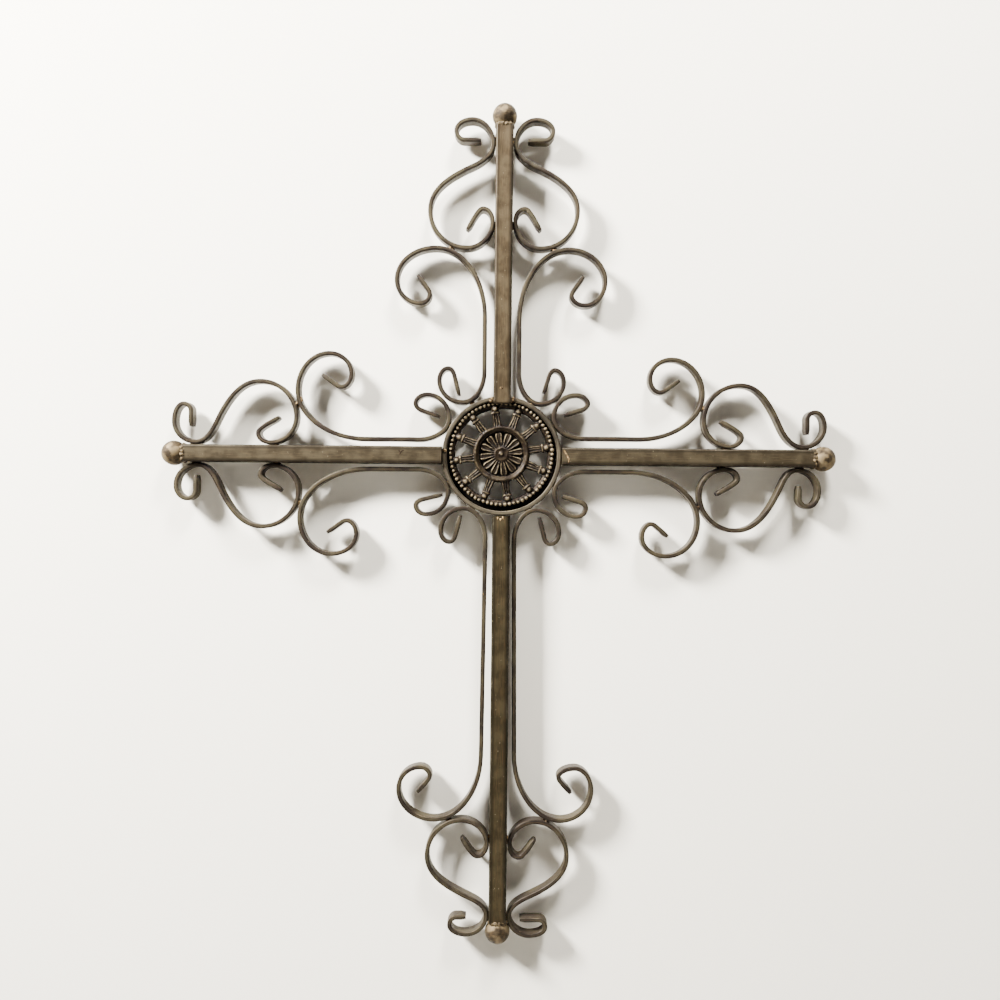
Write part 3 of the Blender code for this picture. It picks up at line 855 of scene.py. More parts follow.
def nearest(line: np.ndarray, spots: np.ndarray) -> tuple:
    """The least distance from any of the spots to a middle line.

    Args:
        line: the middle line.
        spots: the spots.

    Returns:
        The distance, and the point halfway between the spot and the line.
    """
    starts = line[:-1]
    spans = line[1:] - starts
    offsets = spots[:, None] - starts
    shares = np.clip((offsets * spans).sum(axis=2) / (spans * spans).sum(axis=1), 0, 1)
    on_line = starts + shares[..., None] * spans
    apart = np.linalg.norm(spots[:, None] - on_line, axis=2)
    i, j = np.unravel_index(np.argmin(apart), apart.shape)
    return float(apart[i, j]), (spots[i] + on_line[i, j]) / 2


def slide_until(distance: Callable[[float], float], wanted: float, low: float, high: float) -> float:
    """The slide between low and high at which a distance that grows with it is as wanted.

    Args:
        distance: gives the distance at a slide.
        wanted: the distance looked for.
        low: the least slide.
        high: the greatest slide.

    Returns:
        The slide.
    """
    for _ in range(40):
        middle = (low + high) / 2
        if distance(middle) < wanted:
            low = middle
        else:
            high = middle
    return high


def around(values: np.ndarray, ends: np.ndarray) -> np.ndarray:
    """The mean of each point's neighbours.

    Args:
        values: a row for each point.
        ends: the two point numbers of each edge.

    Returns:
        A row for each point.
    """
    links = np.bincount(ends.ravel(), minlength=len(values)).clip(1).astype(float)
    total = np.zeros_like(values)
    np.add.at(total, ends[:, 0], values[ends[:, 1]])
    np.add.at(total, ends[:, 1], values[ends[:, 0]])
    return total / links[:, None]


def shifted(line: np.ndarray, run: float) -> np.ndarray:
    """A middle line moved along its arm."""
    return line + np.array((run, 0))


@dataclass(frozen=True)
class FarCurl:
    """The wide curl that ends a long scroll away from the hoop."""

    width: float = 42.0 * MM
    height: float = 62.0 * MM
    sweep: float = 50.0 * MM
    belly: float = 35.5 * MM
    crown: float = 23.0 * MM
    back: float = 47.0 * MM
    hook_drop: float = 10.0 * MM
    hook_turn: float = 6.2 * MM
    tip_run: float = 15.0 * MM
    tip_rise: float = 9.3 * MM

    def line(self, rail: float) -> np.ndarray:
        """The curl's middle line, from its tip to where it joins the run at zero.

        Args:
            rail: how far out the long scroll's run lies.

        Returns:
            The line's (run, out) points.
        """
        edge = self.sweep
        hook = (edge - self.width + self.hook_turn, rail + self.back - self.hook_drop)
        slant = math.degrees(math.atan2(self.tip_rise, self.tip_run))
        return route(
            [
                (hook[0] + self.tip_run, hook[1] + self.tip_rise, 180 + slant),
                (hook[0] + 0.25 * self.tip_run, hook[1] + 0.16 * self.tip_rise, 180 + slant),
                (edge - self.width, rail + self.back, 90),
                (edge - self.crown, rail + self.height, 0),
                (edge, rail + self.belly, -90),
                (0, rail, -180),
            ]
        )


@dataclass(frozen=True)
class NearCurl:
    """The small curl that brings a long scroll back against the hoop."""

    width: float = 24.5 * MM
    height: float = 32.6 * MM
    sweep: float = 22.5 * MM
    belly: float = 15.8 * MM
    crown: float = 16.0 * MM
    brow: float = 26.2 * MM
    hook_drop: float = 4.4 * MM
    hook_turn: float = 4.8 * MM
    tip_run: float = 14.5 * MM
    tip_drop: float = 3.6 * MM

    def line(self, rail: float) -> np.ndarray:
        """The curl's middle line, from where it leaves the run at zero to its tip.

        Args:
            rail: how far out the long scroll's run lies.

        Returns:
            The line's (run, out) points.
        """
        edge = -self.sweep
        brow = (edge + self.width, rail + self.brow)
        hook = (brow[0] - self.hook_turn, brow[1] - self.hook_drop)
        slant = math.degrees(math.atan2(self.tip_drop, self.tip_run))
        return route(
            [
                (0, rail, -180),
                (edge, rail + self.belly, -270),
                (edge + self.crown, rail + self.height, -360),
                (brow[0], brow[1], -450),
                (hook[0], hook[1], -540 + slant),
                (hook[0] - self.tip_run, hook[1] - self.tip_drop, -540 + slant),
            ]
        )


@dataclass(frozen=True)
class Loop:
    """The large loop of an S scroll, which rests on the bar."""

    height: float = 44.4 * MM
    heel: float = 18.8 * MM
    belly: float = 18.6 * MM
    crown: float = 26.5 * MM
    hook_reach: float = 8.8 * MM
    hook_rise: float = 6.8 * MM
    tip_run: float = 15.0 * MM
    tip_rise: float = 11.5 * MM


@dataclass(frozen=True)
class EndCurl:
    """The small curl of an S scroll, beside the ball."""

    slope_run: float = 31.5 * MM
    slope_fall: float = 30.0 * MM
    slope_heading: float = 115.0
    span: float = 46.5 * MM
    sweep: float = 15.6 * MM
    belly: float = 15.0 * MM
    height: float = 26.5 * MM
    crown: float = 8.0 * MM
    width: float = 14.2 * MM
    leg: float = 11.0 * MM


@dataclass(frozen=True)
class Side:
    """One side of an arm: its scrolls, and how the smith set them.

    Args:
        name: the side's name.
        hand: 1 or -1, for the way out from the bar.
        run_gap: room between the bar and the long scroll's run, at the hoop's end.
        flare: how much wider that room is at the far end.
        inset: how far the S scroll's outer edge stays short of the ball's centre.
        far: the long scroll's far curl.
        near: the long scroll's near curl.
        loop: the S scroll's loop.
        end: the S scroll's end curl.
    """

    name: str = ""
    hand: int = 1
    run_gap: float = 3.4 * MM
    flare: float = 0.0
    inset: float = 3.4 * MM
    far: FarCurl = FarCurl()
    near: NearCurl = NearCurl()
    loop: Loop = Loop()
    end: EndCurl = EndCurl()

    def s_scroll(self) -> np.ndarray:
        """The S scroll's middle line, outer tip to inner tip, its loop resting on the bar at zero.

        Returns:
            The line's (run, out) points.
        """
        loop = self.loop
        end = self.end
        rest = STRIP_OFF_BAR
        crown = (loop.crown - loop.heel, rest + loop.height)
        bottom = crown[0] + end.span
        edge = bottom + end.sweep
        hook = (loop.hook_reach, rest + loop.hook_rise)
        slant = math.degrees(math.atan2(loop.tip_rise, loop.tip_run))
        knee = rest + end.height - end.crown * 0.75
        return route(
            [
                (edge - end.width, knee - end.leg, 90),
                (edge - end.width, knee, 90),
                (edge - end.crown, rest + end.height, 0),
                (edge, rest + end.belly, -90),
                (bottom, rest, -180),
                (crown[0] + end.slope_run, crown[1] - end.slope_fall, -360 + end.slope_heading),
                (crown[0], crown[1], -180),
                (-loop.heel, rest + loop.belly, -90),
                (0, rest, 0),
                (hook[0], hook[1], 90),
                (hook[0] - loop.tip_run * 0.25, hook[1] + loop.tip_rise * 0.4, 180 - slant),
                (hook[0] - loop.tip_run, hook[1] + loop.tip_rise, 180 - slant),
            ]
        )


# The common curls, and what differs on each arm
FAR = FarCurl()
NEAR = NearCurl()
LOOP = Loop()
END = EndCurl()
UPPER_LEFT_FAR = replace(FAR, width=40.4 * MM, height=64.0 * MM, hook_drop=7.4 * MM, tip_run=14.5 * MM)
UPPER_RIGHT_FAR = replace(FAR, width=40.4 * MM)
UPPER_LOOP = replace(LOOP, height=45.3 * MM, heel=19.7 * MM, crown=27.5 * MM)
UPPER_END = replace(END, span=48.3 * MM, sweep=17.3 * MM, height=26.8 * MM, width=14.8 * MM, leg=12.0 * MM)
LOWER_FAR = replace(
    FAR,
    width=37.8 * MM,
    sweep=47.5 * MM,
    belly=34.0 * MM,
    crown=22.0 * MM,
    back=44.0 * MM,
    tip_run=12.0 * MM,
)
LOWER_LEFT_FAR = replace(LOWER_FAR, height=59.6 * MM, hook_drop=7.4 * MM)
LOWER_RIGHT_FAR = replace(LOWER_FAR, height=56.2 * MM, hook_drop=12.0 * MM)
LOWER_LEFT_LOOP = replace(LOOP, height=43.2 * MM, heel=17.0 * MM, crown=25.5 * MM, tip_run=12.5 * MM)
LOWER_RIGHT_LOOP = replace(LOWER_LEFT_LOOP, height=41.6 * MM)
LOWER_END = replace(END, slope_run=29.5 * MM, slope_fall=28.5 * MM, span=43.3 * MM, sweep=13.6 * MM)
LOWER_LEFT_END = replace(LOWER_END, width=12.2 * MM, crown=6.6 * MM, leg=7.0 * MM)
LOWER_RIGHT_END = replace(LOWER_END, width=11.4 * MM, crown=6.2 * MM, leg=14.0 * MM)
LEFT_TOP_FAR = replace(FAR, width=38.8 * MM)
LEFT_BOTTOM_FAR = replace(FAR, width=41.2 * MM)
LEFT_TOP_END = replace(END, height=27.5 * MM, width=12.2 * MM, crown=6.8 * MM)
LEFT_BOTTOM_END = replace(END, height=24.6 * MM)
RIGHT_TOP_FAR = replace(
    FAR,
    width=38.2 * MM,
    height=58.0 * MM,
    sweep=46.5 * MM,
    belly=33.0 * MM,
    back=43.5 * MM,
)
RIGHT_BOTTOM_FAR = replace(FAR, width=40.4 * MM, height=60.8 * MM, tip_run=12.5 * MM)
RIGHT_TOP_END = replace(
    END,
    slope_run=29.0 * MM,
    span=45.4 * MM,
    height=25.4 * MM,
    width=12.4 * MM,
    crown=6.8 * MM,
)
RIGHT_BOTTOM_END = replace(END, span=44.4 * MM, leg=9.0 * MM)
LEFT_TOP_NEAR = replace(NEAR, hook_drop=5.2 * MM, tip_run=12.5 * MM, tip_drop=4.4 * MM)
LEFT_BOTTOM_NEAR = replace(NEAR, width=23.2 * MM)
UPPER_RIGHT_NEAR = replace(NEAR, tip_run=11.5 * MM)
RIGHT_TOP_NEAR = replace(NEAR, width=24.4 * MM, height=31.6 * MM, brow=25.2 * MM, tip_run=12.0 * MM)
RIGHT_BOTTOM_NEAR = replace(NEAR, width=23.0 * MM, tip_run=12.1 * MM)

UPPER_SIDES = (
    Side("left", 1, run_gap=5.2 * MM, far=UPPER_LEFT_FAR, loop=UPPER_LOOP, end=UPPER_END),
    Side(
        "right", -1, run_gap=4.0 * MM, far=UPPER_RIGHT_FAR, near=UPPER_RIGHT_NEAR,
        loop=UPPER_LOOP, end=UPPER_END,
    ),
)
LOWER_SIDES = (
    Side(
        "left", -1, run_gap=3.4 * MM, flare=1.6 * MM, inset=-1.8 * MM,
        far=LOWER_LEFT_FAR, loop=LOWER_LEFT_LOOP, end=LOWER_LEFT_END,
    ),
    Side(
        "right", 1, run_gap=1.6 * MM, flare=1.4 * MM, inset=-2.5 * MM,
        far=LOWER_RIGHT_FAR, loop=LOWER_RIGHT_LOOP, end=LOWER_RIGHT_END,
    ),
)
LEFT_SIDES = (
    Side(
        "top", -1, run_gap=3.4 * MM, inset=0.4 * MM, far=LEFT_TOP_FAR,
        near=LEFT_TOP_NEAR, end=LEFT_TOP_END,
    ),
    Side(
        "bottom", 1, run_gap=2.3 * MM, inset=2.1 * MM, far=LEFT_BOTTOM_FAR,
        near=LEFT_BOTTOM_NEAR, end=LEFT_BOTTOM_END,
    ),
)
RIGHT_SIDES = (
    Side(
        "top", 1, run_gap=5.0 * MM, inset=-0.3 * MM, far=RIGHT_TOP_FAR,
        near=RIGHT_TOP_NEAR, end=RIGHT_TOP_END,
    ),
    Side(
        "bottom", -1, run_gap=3.0 * MM, far=RIGHT_BOTTOM_FAR, near=RIGHT_BOTTOM_NEAR,
        end=RIGHT_BOTTOM_END,
    ),
)


@dataclass
class ArmPiece:
    """One arm of the cross: its bar, its ball, the scrolls beside it and their welds.

    Args:
        name: the arm's name.
        along: the way that it points from the hub.
        reach: distance from the hub to its ball's centre.
        sides: its two sides.
        seed: a number that no other arm has, for its wear.
        finish: its bar's paint.
        strip_tip: how far a strip's ends are filed.
        neck_drops: how many drops of weld stand round the ball's neck.
        neck_radius: how far they stand from its middle.
        neck_drop: each drop's half size.
    """

    name: str
    along: Vector
    reach: float
    sides: tuple
    seed: float
    finish: BronzePaint = BAR_PAINT
    strip_tip: float = 1.4 * MM
    neck_drops: int = 14
    neck_radius: float = 5.9 * MM
    neck_drop: float = 1.8 * MM

    def place(self, run: float, out: float, hand: int) -> tuple:
        """World X and Z of a point given along the arm and out to one side.

        Args:
            run: distance from the hub.
            out: distance from the bar's middle.
            hand: 1 or -1, the side.

        Returns:
            World X and Z.
        """
        across = Vector((-self.along.z, 0, self.along.x)) * hand
        spot = HUB + self.along * run + across * out
        return spot.x, spot.z

    def spot(self, run: float, out: float, hand: int, depth: float) -> Vector:
        """A world point given along the arm, out to one side, and its depth."""
        x, z = self.place(run, out, hand)
        return Vector((x, depth, z))

    def size(self, run: float, out: float, depth: float) -> tuple:
        """Half sizes on X, Y and Z of a thing sized along the arm, out from it and in depth."""
        upright = abs(self.along.z) > 0.5
        return (out, depth, run) if upright else (run, depth, out)

    def hub_space(self, line: np.ndarray) -> float:
        """Room between a near curl and both the hoop and the next arm's near curl, past the diagonal.

        Args:
            line: the near curl's middle line.

        Returns:
            The room.
        """
        off_hoop = nearest(line, np.array([(0, 0)]))[0] - STRIP_OFF_HOOP
        off_diagonal = float((line[:, 0] - line[:, 1]).min()) / math.sqrt(2) - STRIP_OFF_STRIP / 2
        return min(off_hoop, off_diagonal)

    def scrolls(self, side: Side) -> tuple:
        """Middle lines of the long scroll and the S scroll on one side.

        Args:
            side: the side.

        Returns:
            The two lines.
        """
        small = side.s_scroll()
        ball = np.array([(self.reach, 0)])
        back_off = slide_until(
            lambda back: nearest(shifted(small, self.reach - back), ball)[0],
            STRIP_OFF_BALL,
            small[:, 0].max() + side.inset,
            self.reach,
        )
        small = shifted(small, self.reach - back_off)
        rail = BAR_WIDTH / 2 + side.run_gap + STRIP_THICKNESS / 2
        near = side.near.line(rail)
        start = slide_until(lambda run: self.hub_space(shifted(near, run)), 0, 0, self.reach)
        far = side.far.line(rail + side.flare)
        inward = slide_until(
            lambda back: nearest(shifted(far, self.reach - back), small)[0],
            WELD_OFF_STRIP,
            self.reach - small[:, 0].min(),
            self.reach,
        )
        far = shifted(far, self.reach - inward)
        near = shifted(near, start)
        gap = far[-1] - near[0]
        steps = max(2, math.ceil(np.linalg.norm(gap) / RUN_STEP))
        run = near[0] + gap * np.linspace(1, 0, steps + 1)[1:-1, None]
        return np.vstack((far, run, near)), small

    def dress_strips(self, dresser: Dresser) -> None:
        """Adds the arm's four scrolls and their welds.

        Args:
            dresser: adds the pieces.
        """
        section = Section(STRIP_THICKNESS, -STRIP_DEPTH, 0, STRIP_CORNER)
        welds = []
        for number, side in enumerate(self.sides):
            long, small = self.scrolls(side)
            seed = self.seed + 0.37 * number
            place = partial(self.place, hand=side.hand)
            for kind, line, shift in (("long_scroll", long, 0.0), ("s_scroll", small, 0.19)):
                shell = swept(line, section, place, seed + shift, (self.strip_tip, self.strip_tip))
                shell = shell.roughened(0.10 * MM, 60, seed)
                node = f"{self.name}_{side.name}_{kind}"
                dresser.add(f"{node}_strip", shell.mesh(node), STRIP_PAINT, Slot.STRIP, (node,))
            welds += self.weld_lumps(side, long, small, seed)
        mesh = Shell.joined(welds).mesh(f"{self.name}_welds")
        dresser.add(f"{self.name}_scroll_welds", mesh, WELD_PAINT, Slot.STRIP)

    def weld_lumps(self, side: Side, long: np.ndarray, small: np.ndarray, seed: float) -> list:
        """Drops of weld where the scrolls meet the bar, the hoop and each other.

        Args:
            side: the side of the arm.
            long: the long scroll's middle line.
            small: the S scroll's middle line.
            seed: a shift of their unevenness.

        Returns:
            The drops' shells.
        """
        drops = []
        on_bar = small[small[:, 1] < STRIP_OFF_BAR + 0.2 * MM]
        loop_rest = on_bar[:, 0].min()
        end_rest = on_bar[:, 0].max()
        for number, run in enumerate((loop_rest, end_rest)):
            spot = self.spot(run, BAR_WIDTH / 2 + 0.4 * MM, side.hand, STRIP_CENTRE)
            drops.append(lump(spot, self.size(3.0 * MM, 1.1 * MM, 3.4 * MM), seed + number, 0.35))
        _, touch = nearest(small, long)
        spot = self.spot(touch[0], touch[1], side.hand, STRIP_CENTRE)
        drops.append(lump(spot, (2.3 * MM, 4.1 * MM, 2.3 * MM), seed + 3, 0.4))
        _, hoop_touch = nearest(long, np.array([(0, 0)]))
        way = hoop_touch / np.linalg.norm(hoop_touch)
        spot = self.spot(*(way * (HOOP_RADIUS + 0.2 * MM)), side.hand, STRIP_CENTRE)
        drops.append(lump(spot, (2.0 * MM, 3.4 * MM, 2.0 * MM), seed + 5, 0.3))
        return drops

    def dress_bar(self, dresser: Dresser) -> None:
        """Adds the arm's square bar, the upper one with its tongue over the hoop.

        Args:
            dresser: adds the pieces.
        """
        end = self.reach - BALL_SEAT - GAP
        start = HOOP_RADIUS + GAP
        steps = math.ceil((end - start) / RUN_STEP)
        runs = np.linspace(start, end, steps + 1)
        tips = (0.0, 0.0)
        if self.name == "upper":
            runs = np.concatenate((np.linspace(HOOP_RADIUS - TONGUE_LAP, start - 0.02 * MM, 12), runs))
            tips = (2.0 * MM, 0.0)
        line = np.column_stack((runs, np.zeros(len(runs))))
        section = Section(BAR_WIDTH, -BAR_WIDTH, 0, BAR_CORNER, 5)
        shell = swept(line, section, partial(self.place, hand=1), self.seed, tips)
        if self.name == "upper":
            self.thin_tongue(shell.points, HUB.z + start)
        shell = shell.roughened(0.12 * MM, 45, self.seed)
        node = f"{self.name}_bar"
        dresser.add(f"{node}_steel", shell.mesh(node), self.finish, Slot.BAR, (node,))

    def thin_tongue(self, points: np.ndarray, step: float) -> None:
        """Cuts the back off the part of the bar that laps over the hoop, and spreads its end.

        Args:
            points: the bar's points, changed in place.
            step: height above which the bar keeps its full section.
        """
        shoulder = -BAR_WIDTH + BAR_CORNER
        lap_back = -STRIP_DEPTH - GAP
        below = points[:, 2] < step - 0.01 * MM
        behind = below & (points[:, 1] > shoulder)
        share = (points[behind, 1] - shoulder) / -shoulder
        points[behind, 1] = shoulder + share * (lap_back - shoulder)
        spread = np.clip((step - points[:, 2]) / TONGUE_LAP, 0, 1)
        points[:, 0] *= 1 + 0.10 * spread

    def dress_ball(self, dresser: Dresser) -> None:
        """Adds the arm's ball and the weld round its neck.

        Args:
            dresser: adds the pieces.
        """
        centre = HUB + self.along * self.reach
        centre.y = BAR_CENTRE
        ball = lump(centre, (BALL_RADIUS * 0.975,) * 3, self.seed, 0.015, 5)
        shells = [ball.roughened(0.10 * MM, 260, self.seed)]
        neck = centre - self.along * (BALL_SEAT + 0.2 * MM)
        sideways = Vector((self.along.z, 0, -self.along.x))
        for i in range(self.neck_drops):
            way = math.tau * i / self.neck_drops
            reach = self.neck_radius - 0.4 * MM * math.cos(4 * way)
            spot = neck + sideways * reach * math.cos(way) + Vector((0, reach * math.sin(way), 0))
            shells.append(lump(spot, (self.neck_drop,) * 3, self.seed + i, 0.35, 2))
        node = f"{self.name}_ball"
        dresser.add(f"{node}_steel", Shell.joined(shells).mesh(node), BALL_PAINT, Slot.BALL, (node,))


@dataclass
class WeldMarks:
    """The bright beads of weld, the small nick and the stray lumps that show on the fronts.

    Each place is an (x, z) station in millimetres from the hub.

    Args:
        skin: depth of the marks on the bars' fronts.
        runs_below: bright runs at the top of the lower bar.
        ridge: the bright bead across the right bar.
        nick: the nick in the left bar, a raised lump whose near-black paint is painted shade for the dent.
        tongue_lumps: the lumps on both sides of the tongue.
    """

    skin: float = -BAR_WIDTH + 0.15 * MM
    runs_below: tuple = ((-2.4, -45.2), (-0.3, -46.2), (1.3, -45.0))
    ridge: tuple = (
        (45.4, 3.4),
        (46.0, 2.5),
        (46.7, 1.4),
        (47.3, 0.2),
        (47.9, -1.0),
        (48.3, -2.3),
        (48.5, -3.5),
    )
    nick: tuple = (
        (-73.3, 0.5),
        (-73.0, 1.3),
        (-72.5, 2.1),
        (-71.8, 2.7),
        (-71.0, 3.1),
        (-73.5, 2.2),
        (-73.9, 3.0),
    )
    tongue_lumps: tuple = ((-8.0, 39.6), (-7.6, 41.2), (7.4, 39.8), (7.7, 41.3))

    def bead(
        self, stations: tuple, size: tuple, seed: float, depth: float | None = None, lumps: float = 0.35
    ) -> list:
        """Lumps of weld laid at stations.

        Args:
            stations: their places.
            size: their half sizes on X, Y and Z, in millimetres.
            seed: a shift of their unevenness.
            depth: where they lie on Y, the bars' fronts where it isn't given.
            lumps: how uneven they are.

        Returns:
            The lumps' shells.
        """
        y = self.skin if depth is None else depth
        half = tuple(length * MM for length in size)
        return [
            lump(HUB + Vector((x * MM, y, z * MM)), half, seed + number, lumps, 2)
            for number, (x, z) in enumerate(stations)
        ]

    def dress(self, dresser: Dresser) -> None:
        """Adds the bright marks, the nick and the plain lumps.

        Args:
            dresser: adds the pieces.
        """
        marks = self.bead(self.runs_below, (0.7, 0.4, 1.3), 7.0)
        marks += self.bead(self.ridge, (0.6, 0.45, 0.85), 11.0)
        scars = self.bead(self.nick, (0.65, 0.28, 0.8), 17.0)
        lumps = self.bead(((-0.4, 48.6),), (1.5, 0.4, 1.2), 15.0)
        lumps += self.bead(((-145.7, 39.2),), (1.5, 1.0, 1.9), 31.0, -STRIP_DEPTH + 0.9 * MM)
        lumps += self.bead(self.tongue_lumps, (1.4, 1.1, 1.3), 20.0, -STRIP_DEPTH - 0.6 * MM)
        lumps += self.bead(((-41.4, 3.4),), (1.5, 0.9, 1.2), 27.0, -STRIP_DEPTH)
        lumps += self.bead(((-12.6, -100.2),), (0.9, 0.5, 1.0), 29.0, -STRIP_DEPTH, 0.3)
        for name, shells, finish in (
            ("bright_weld_marks", marks, COPPER_WELD_PAINT),
            ("left_bar_nick", scars, NICK_SHADE_PAINT),
            ("hoop_weld_lumps", lumps, WELD_PAINT),
        ):
            dresser.add(name, Shell.joined(shells).mesh(name), finish, Slot.STRIP)


@dataclass
class HoopPiece:
    """The strip bent into a closed hoop."""

    radius: float = HOOP_RADIUS - STRIP_THICKNESS / 2
    sides: int = 180
    seed: float = 3.3

    def place(self, run: float, out: float) -> tuple:
        """World X and Z of a point given from the hub."""
        return HUB.x + run, HUB.z + out

    def dress(self, dresser: Dresser) -> None:
        """Adds the hoop.

        Args:
            dresser: adds the pieces.
        """
        ways = [math.tau * i / self.sides for i in range(self.sides)]
        line = np.array([(self.radius * math.cos(w), self.radius * math.sin(w)) for w in ways])
        section = Section(STRIP_THICKNESS, -STRIP_DEPTH, 0, STRIP_CORNER)
        shell = swept(line, section, self.place, self.seed, closed=True).roughened(0.08 * MM, 60, self.seed)
        dresser.add("centre_hoop_strip", shell.mesh("centre_hoop"), HOOP_PAINT, Slot.STRIP, ("centre_hoop",))


@dataclass
class MedallionPiece:
    """The cast medallion: beaded rim on a recessed flange, spokes, inner ring, rosette and boss.

    Its relief is built from closed forms, fused and softened as a casting is.
    """

    setback: float = 0.7 * MM
    depth: float = 8.2 * MM
    rise: float = 1.4 * MM
    shift: float = 0.3 * MM
    flange_recess: float = 4.6 * MM
    bead_count: int = 72
    bead_radius: float = 1.45 * MM
    bead_circle: float = 36.8 * MM
    rim_inner: float = 33.6 * MM
    spoke_count: int = 12
    spoke_turn: float = 8.5
    spoke_start: float = 19.0 * MM
    spoke_end: float = 29.8 * MM
    spoke_half: float = 3.3 * MM
    collar: float = 30.2 * MM
    knob_circle: float = 32.8 * MM
    knob_radius: float = 2.75 * MM
    ring_outer: float = 20.6 * MM
    ring_inner: float = 16.4 * MM
    disc_recess: float = 3.6 * MM
    petal_count: int = 12
    petal_turn: float = 8.5
    petal_start: float = 4.6 * MM
    petal_end: float = 15.9 * MM
    petal_half: float = 3.05 * MM
    boss_radius: float = 5.2 * MM
    grain: float = 0.43 * MM
    crown_bulge: float = 0.042 * MM
    cleft_bulge: float = 0.026 * MM

    def __post_init__(self) -> None:
        """Works out the casting's middle and its front and back faces."""
        self.middle = HUB + Vector((-self.shift, 0, self.rise))
        self.back = -self.setback
        self.top = self.back - self.depth

    def turned(self, profile: list, sides: int, centre: Vector) -> tuple:
        """Points and faces of a closed ring turned from (radius, depth) corners.

        Args:
            profile: the corners.
            sides: faces round it.
            centre: its middle.

        Returns:
            Its points and faces.
        """
        points = []
        for i in range(sides):
            way = math.tau * i / sides
            points += [centre + Vector((r * math.cos(way), y, r * math.sin(way))) for r, y in profile]
        return points, ring_faces(sides, len(profile), True)

    def plate(
        self,
        length: tuple,
        half: Callable[[float], float],
        height: Callable[[float, float], float],
        base: float,
        angle: float,
        cells: tuple = (16, 14),
        root: float = 1.2 * MM,
    ) -> tuple:
        """A closed form lying on a base plane, along a spoke's way.

        Args:
            length: where it starts and ends, from the casting's middle.
            half: gives its half width at a share of its length.
            height: gives its face's height over the base at shares along and across.
            base: the base plane's depth.
            angle: its way round the casting, in degrees.
            cells: how many steps it has along and across.
            root: how deep it reaches behind the base.

        Returns:
            Its points and faces.
        """
        along, across = cells
        turn = Matrix.Rotation(-math.radians(angle), 3, "Y")
        points = []
        for lift in (True, False):
            for i in range(along + 1):
                s = i / along
                for j in range(across + 1):
                    t = 2 * j / across - 1
                    rise = height(s, t) if lift else -root
                    spot = Vector((length[0] + (length[1] - length[0]) * s, base - rise, half(s) * t))
                    points.append(self.middle + turn @ spot)
        row = across + 1
        sheet = (along + 1) * row
        faces = []
        for i in range(along):
            for j in range(across):
                a = i * row + j
                faces.append([a, a + 1, a + row + 1, a + row])
                faces.append([sheet + a, sheet + a + row, sheet + a + row + 1, sheet + a + 1])
        rim = [*range(row), *(i * row + across for i in range(1, along + 1))]
        rim += [along * row + j for j in range(across - 1, -1, -1)]
        rim += [i * row for i in range(along - 1, 0, -1)]
        for here, there in zip(rim, rim[1:] + rim[:1]):
            faces.append([here, sheet + here, sheet + there, there])
        return points, faces

    def ball(self, radius: float, circle: float, angle: float, depth: float, flat: float = 1.0) -> tuple:
        """A round knob at a place round the casting.

        Args:
            radius: its radius.
            circle: how far it stands from the casting's middle.
            angle: its way round the casting, in degrees.
            depth: its middle, on Y.
            flat: its depth as a share of its width.

        Returns:
            Its points and faces.
        """
        way = math.radians(angle)
        centre = self.middle + Vector((circle * math.cos(way), depth, circle * math.sin(way)))
        spots, faces = round_skin(radius, 3)
        return [centre + Vector((spot.x, spot.y * flat, spot.z)) for spot in spots], faces

    def rim_forms(self) -> list:
        """The flange that the hoop grips, the rim and its beads.

        Returns:
            The forms.
        """
        seat = HOOP_RADIUS - STRIP_THICKNESS - 0.05 * MM
        flange_top = self.top + self.flange_recess
        band = self.bead_circle + 0.6 * MM
        inner = self.rim_inner + 1 * MM
        flange = [(seat, self.back), (seat, flange_top), (inner, flange_top), (inner, self.back)]
        rim = [
            (band, self.back - 0.4 * MM),
            (band, self.top + 2.1 * MM),
            (self.bead_circle - 1.2 * MM, self.top + 1.7 * MM),
            (self.rim_inner + 0.7 * MM, self.top + 2.0 * MM),
            (self.rim_inner, self.top + 3.0 * MM),
            (self.rim_inner, self.back - 0.4 * MM),
        ]
        forms = [self.turned(flange, 144, HUB), self.turned(rim, 144, self.middle)]
        for i in range(self.bead_count):
            angle = 360 * i / self.bead_count
            swell = 0.92 + 0.22 * noise.noise(Vector((0.9 * i, 3.1, 0.4)))
            size = self.bead_radius * swell
            forms.append(self.ball(size, self.bead_circle, angle, self.top + self.bead_radius))
        return forms

    def spoke_width(self, s: float) -> float:
        """A spoke's half width at a share of its length."""
        return self.spoke_half * (1.0 - 0.33 * s)

    def spoke_height(self, s: float, t: float) -> float:
        """The height of a spoke's flutes.

        Args:
            s: the share along the spoke; not used.
            t: the share across it, -1 to 1.

        Returns:
            The height.
        """
        round_off = 1.3 * MM * (abs(t) ** 6)
        flutes = 0.55 * MM * math.cos(3 * math.pi * t) + 0.35 * MM * t * t
        return 2.1 * MM + flutes - round_off

    def collar_height(self, s: float, t: float) -> float:
        """The height of a collar's round back."""
        return 2.9 * MM * math.sqrt(max(0.0, 1 - 0.8 * (2 * s - 1) ** 2)) - 1.2 * MM * t**4

    def spoke_forms(self) -> list:
        """The fluted spokes, each with a collar and a round head by the rim.

        Returns:
            The forms.
        """
        base = self.top + 3.2 * MM
        forms = []
        for i in range(self.spoke_count):
            angle = self.spoke_turn + 360 * i / self.spoke_count
            ends = (self.spoke_start, self.spoke_end)
            forms.append(self.plate(ends, self.spoke_width, self.spoke_height, base, angle, root=4.2 * MM))
            ends = (self.collar - 1.1 * MM, self.collar + 0.9 * MM)
            forms.append(self.plate(ends, lambda s: 3.1 * MM, self.collar_height, base, angle, (8, 10)))
            forms.append(self.ball(self.knob_radius, self.knob_circle, angle, self.top + self.knob_radius))
            neck = (self.knob_circle, self.rim_inner + 1.5 * MM)
            forms.append(self.plate(neck, lambda s: 1.5 * MM, lambda s, t: 1.0 * MM, base, angle, (3, 3)))
        return forms

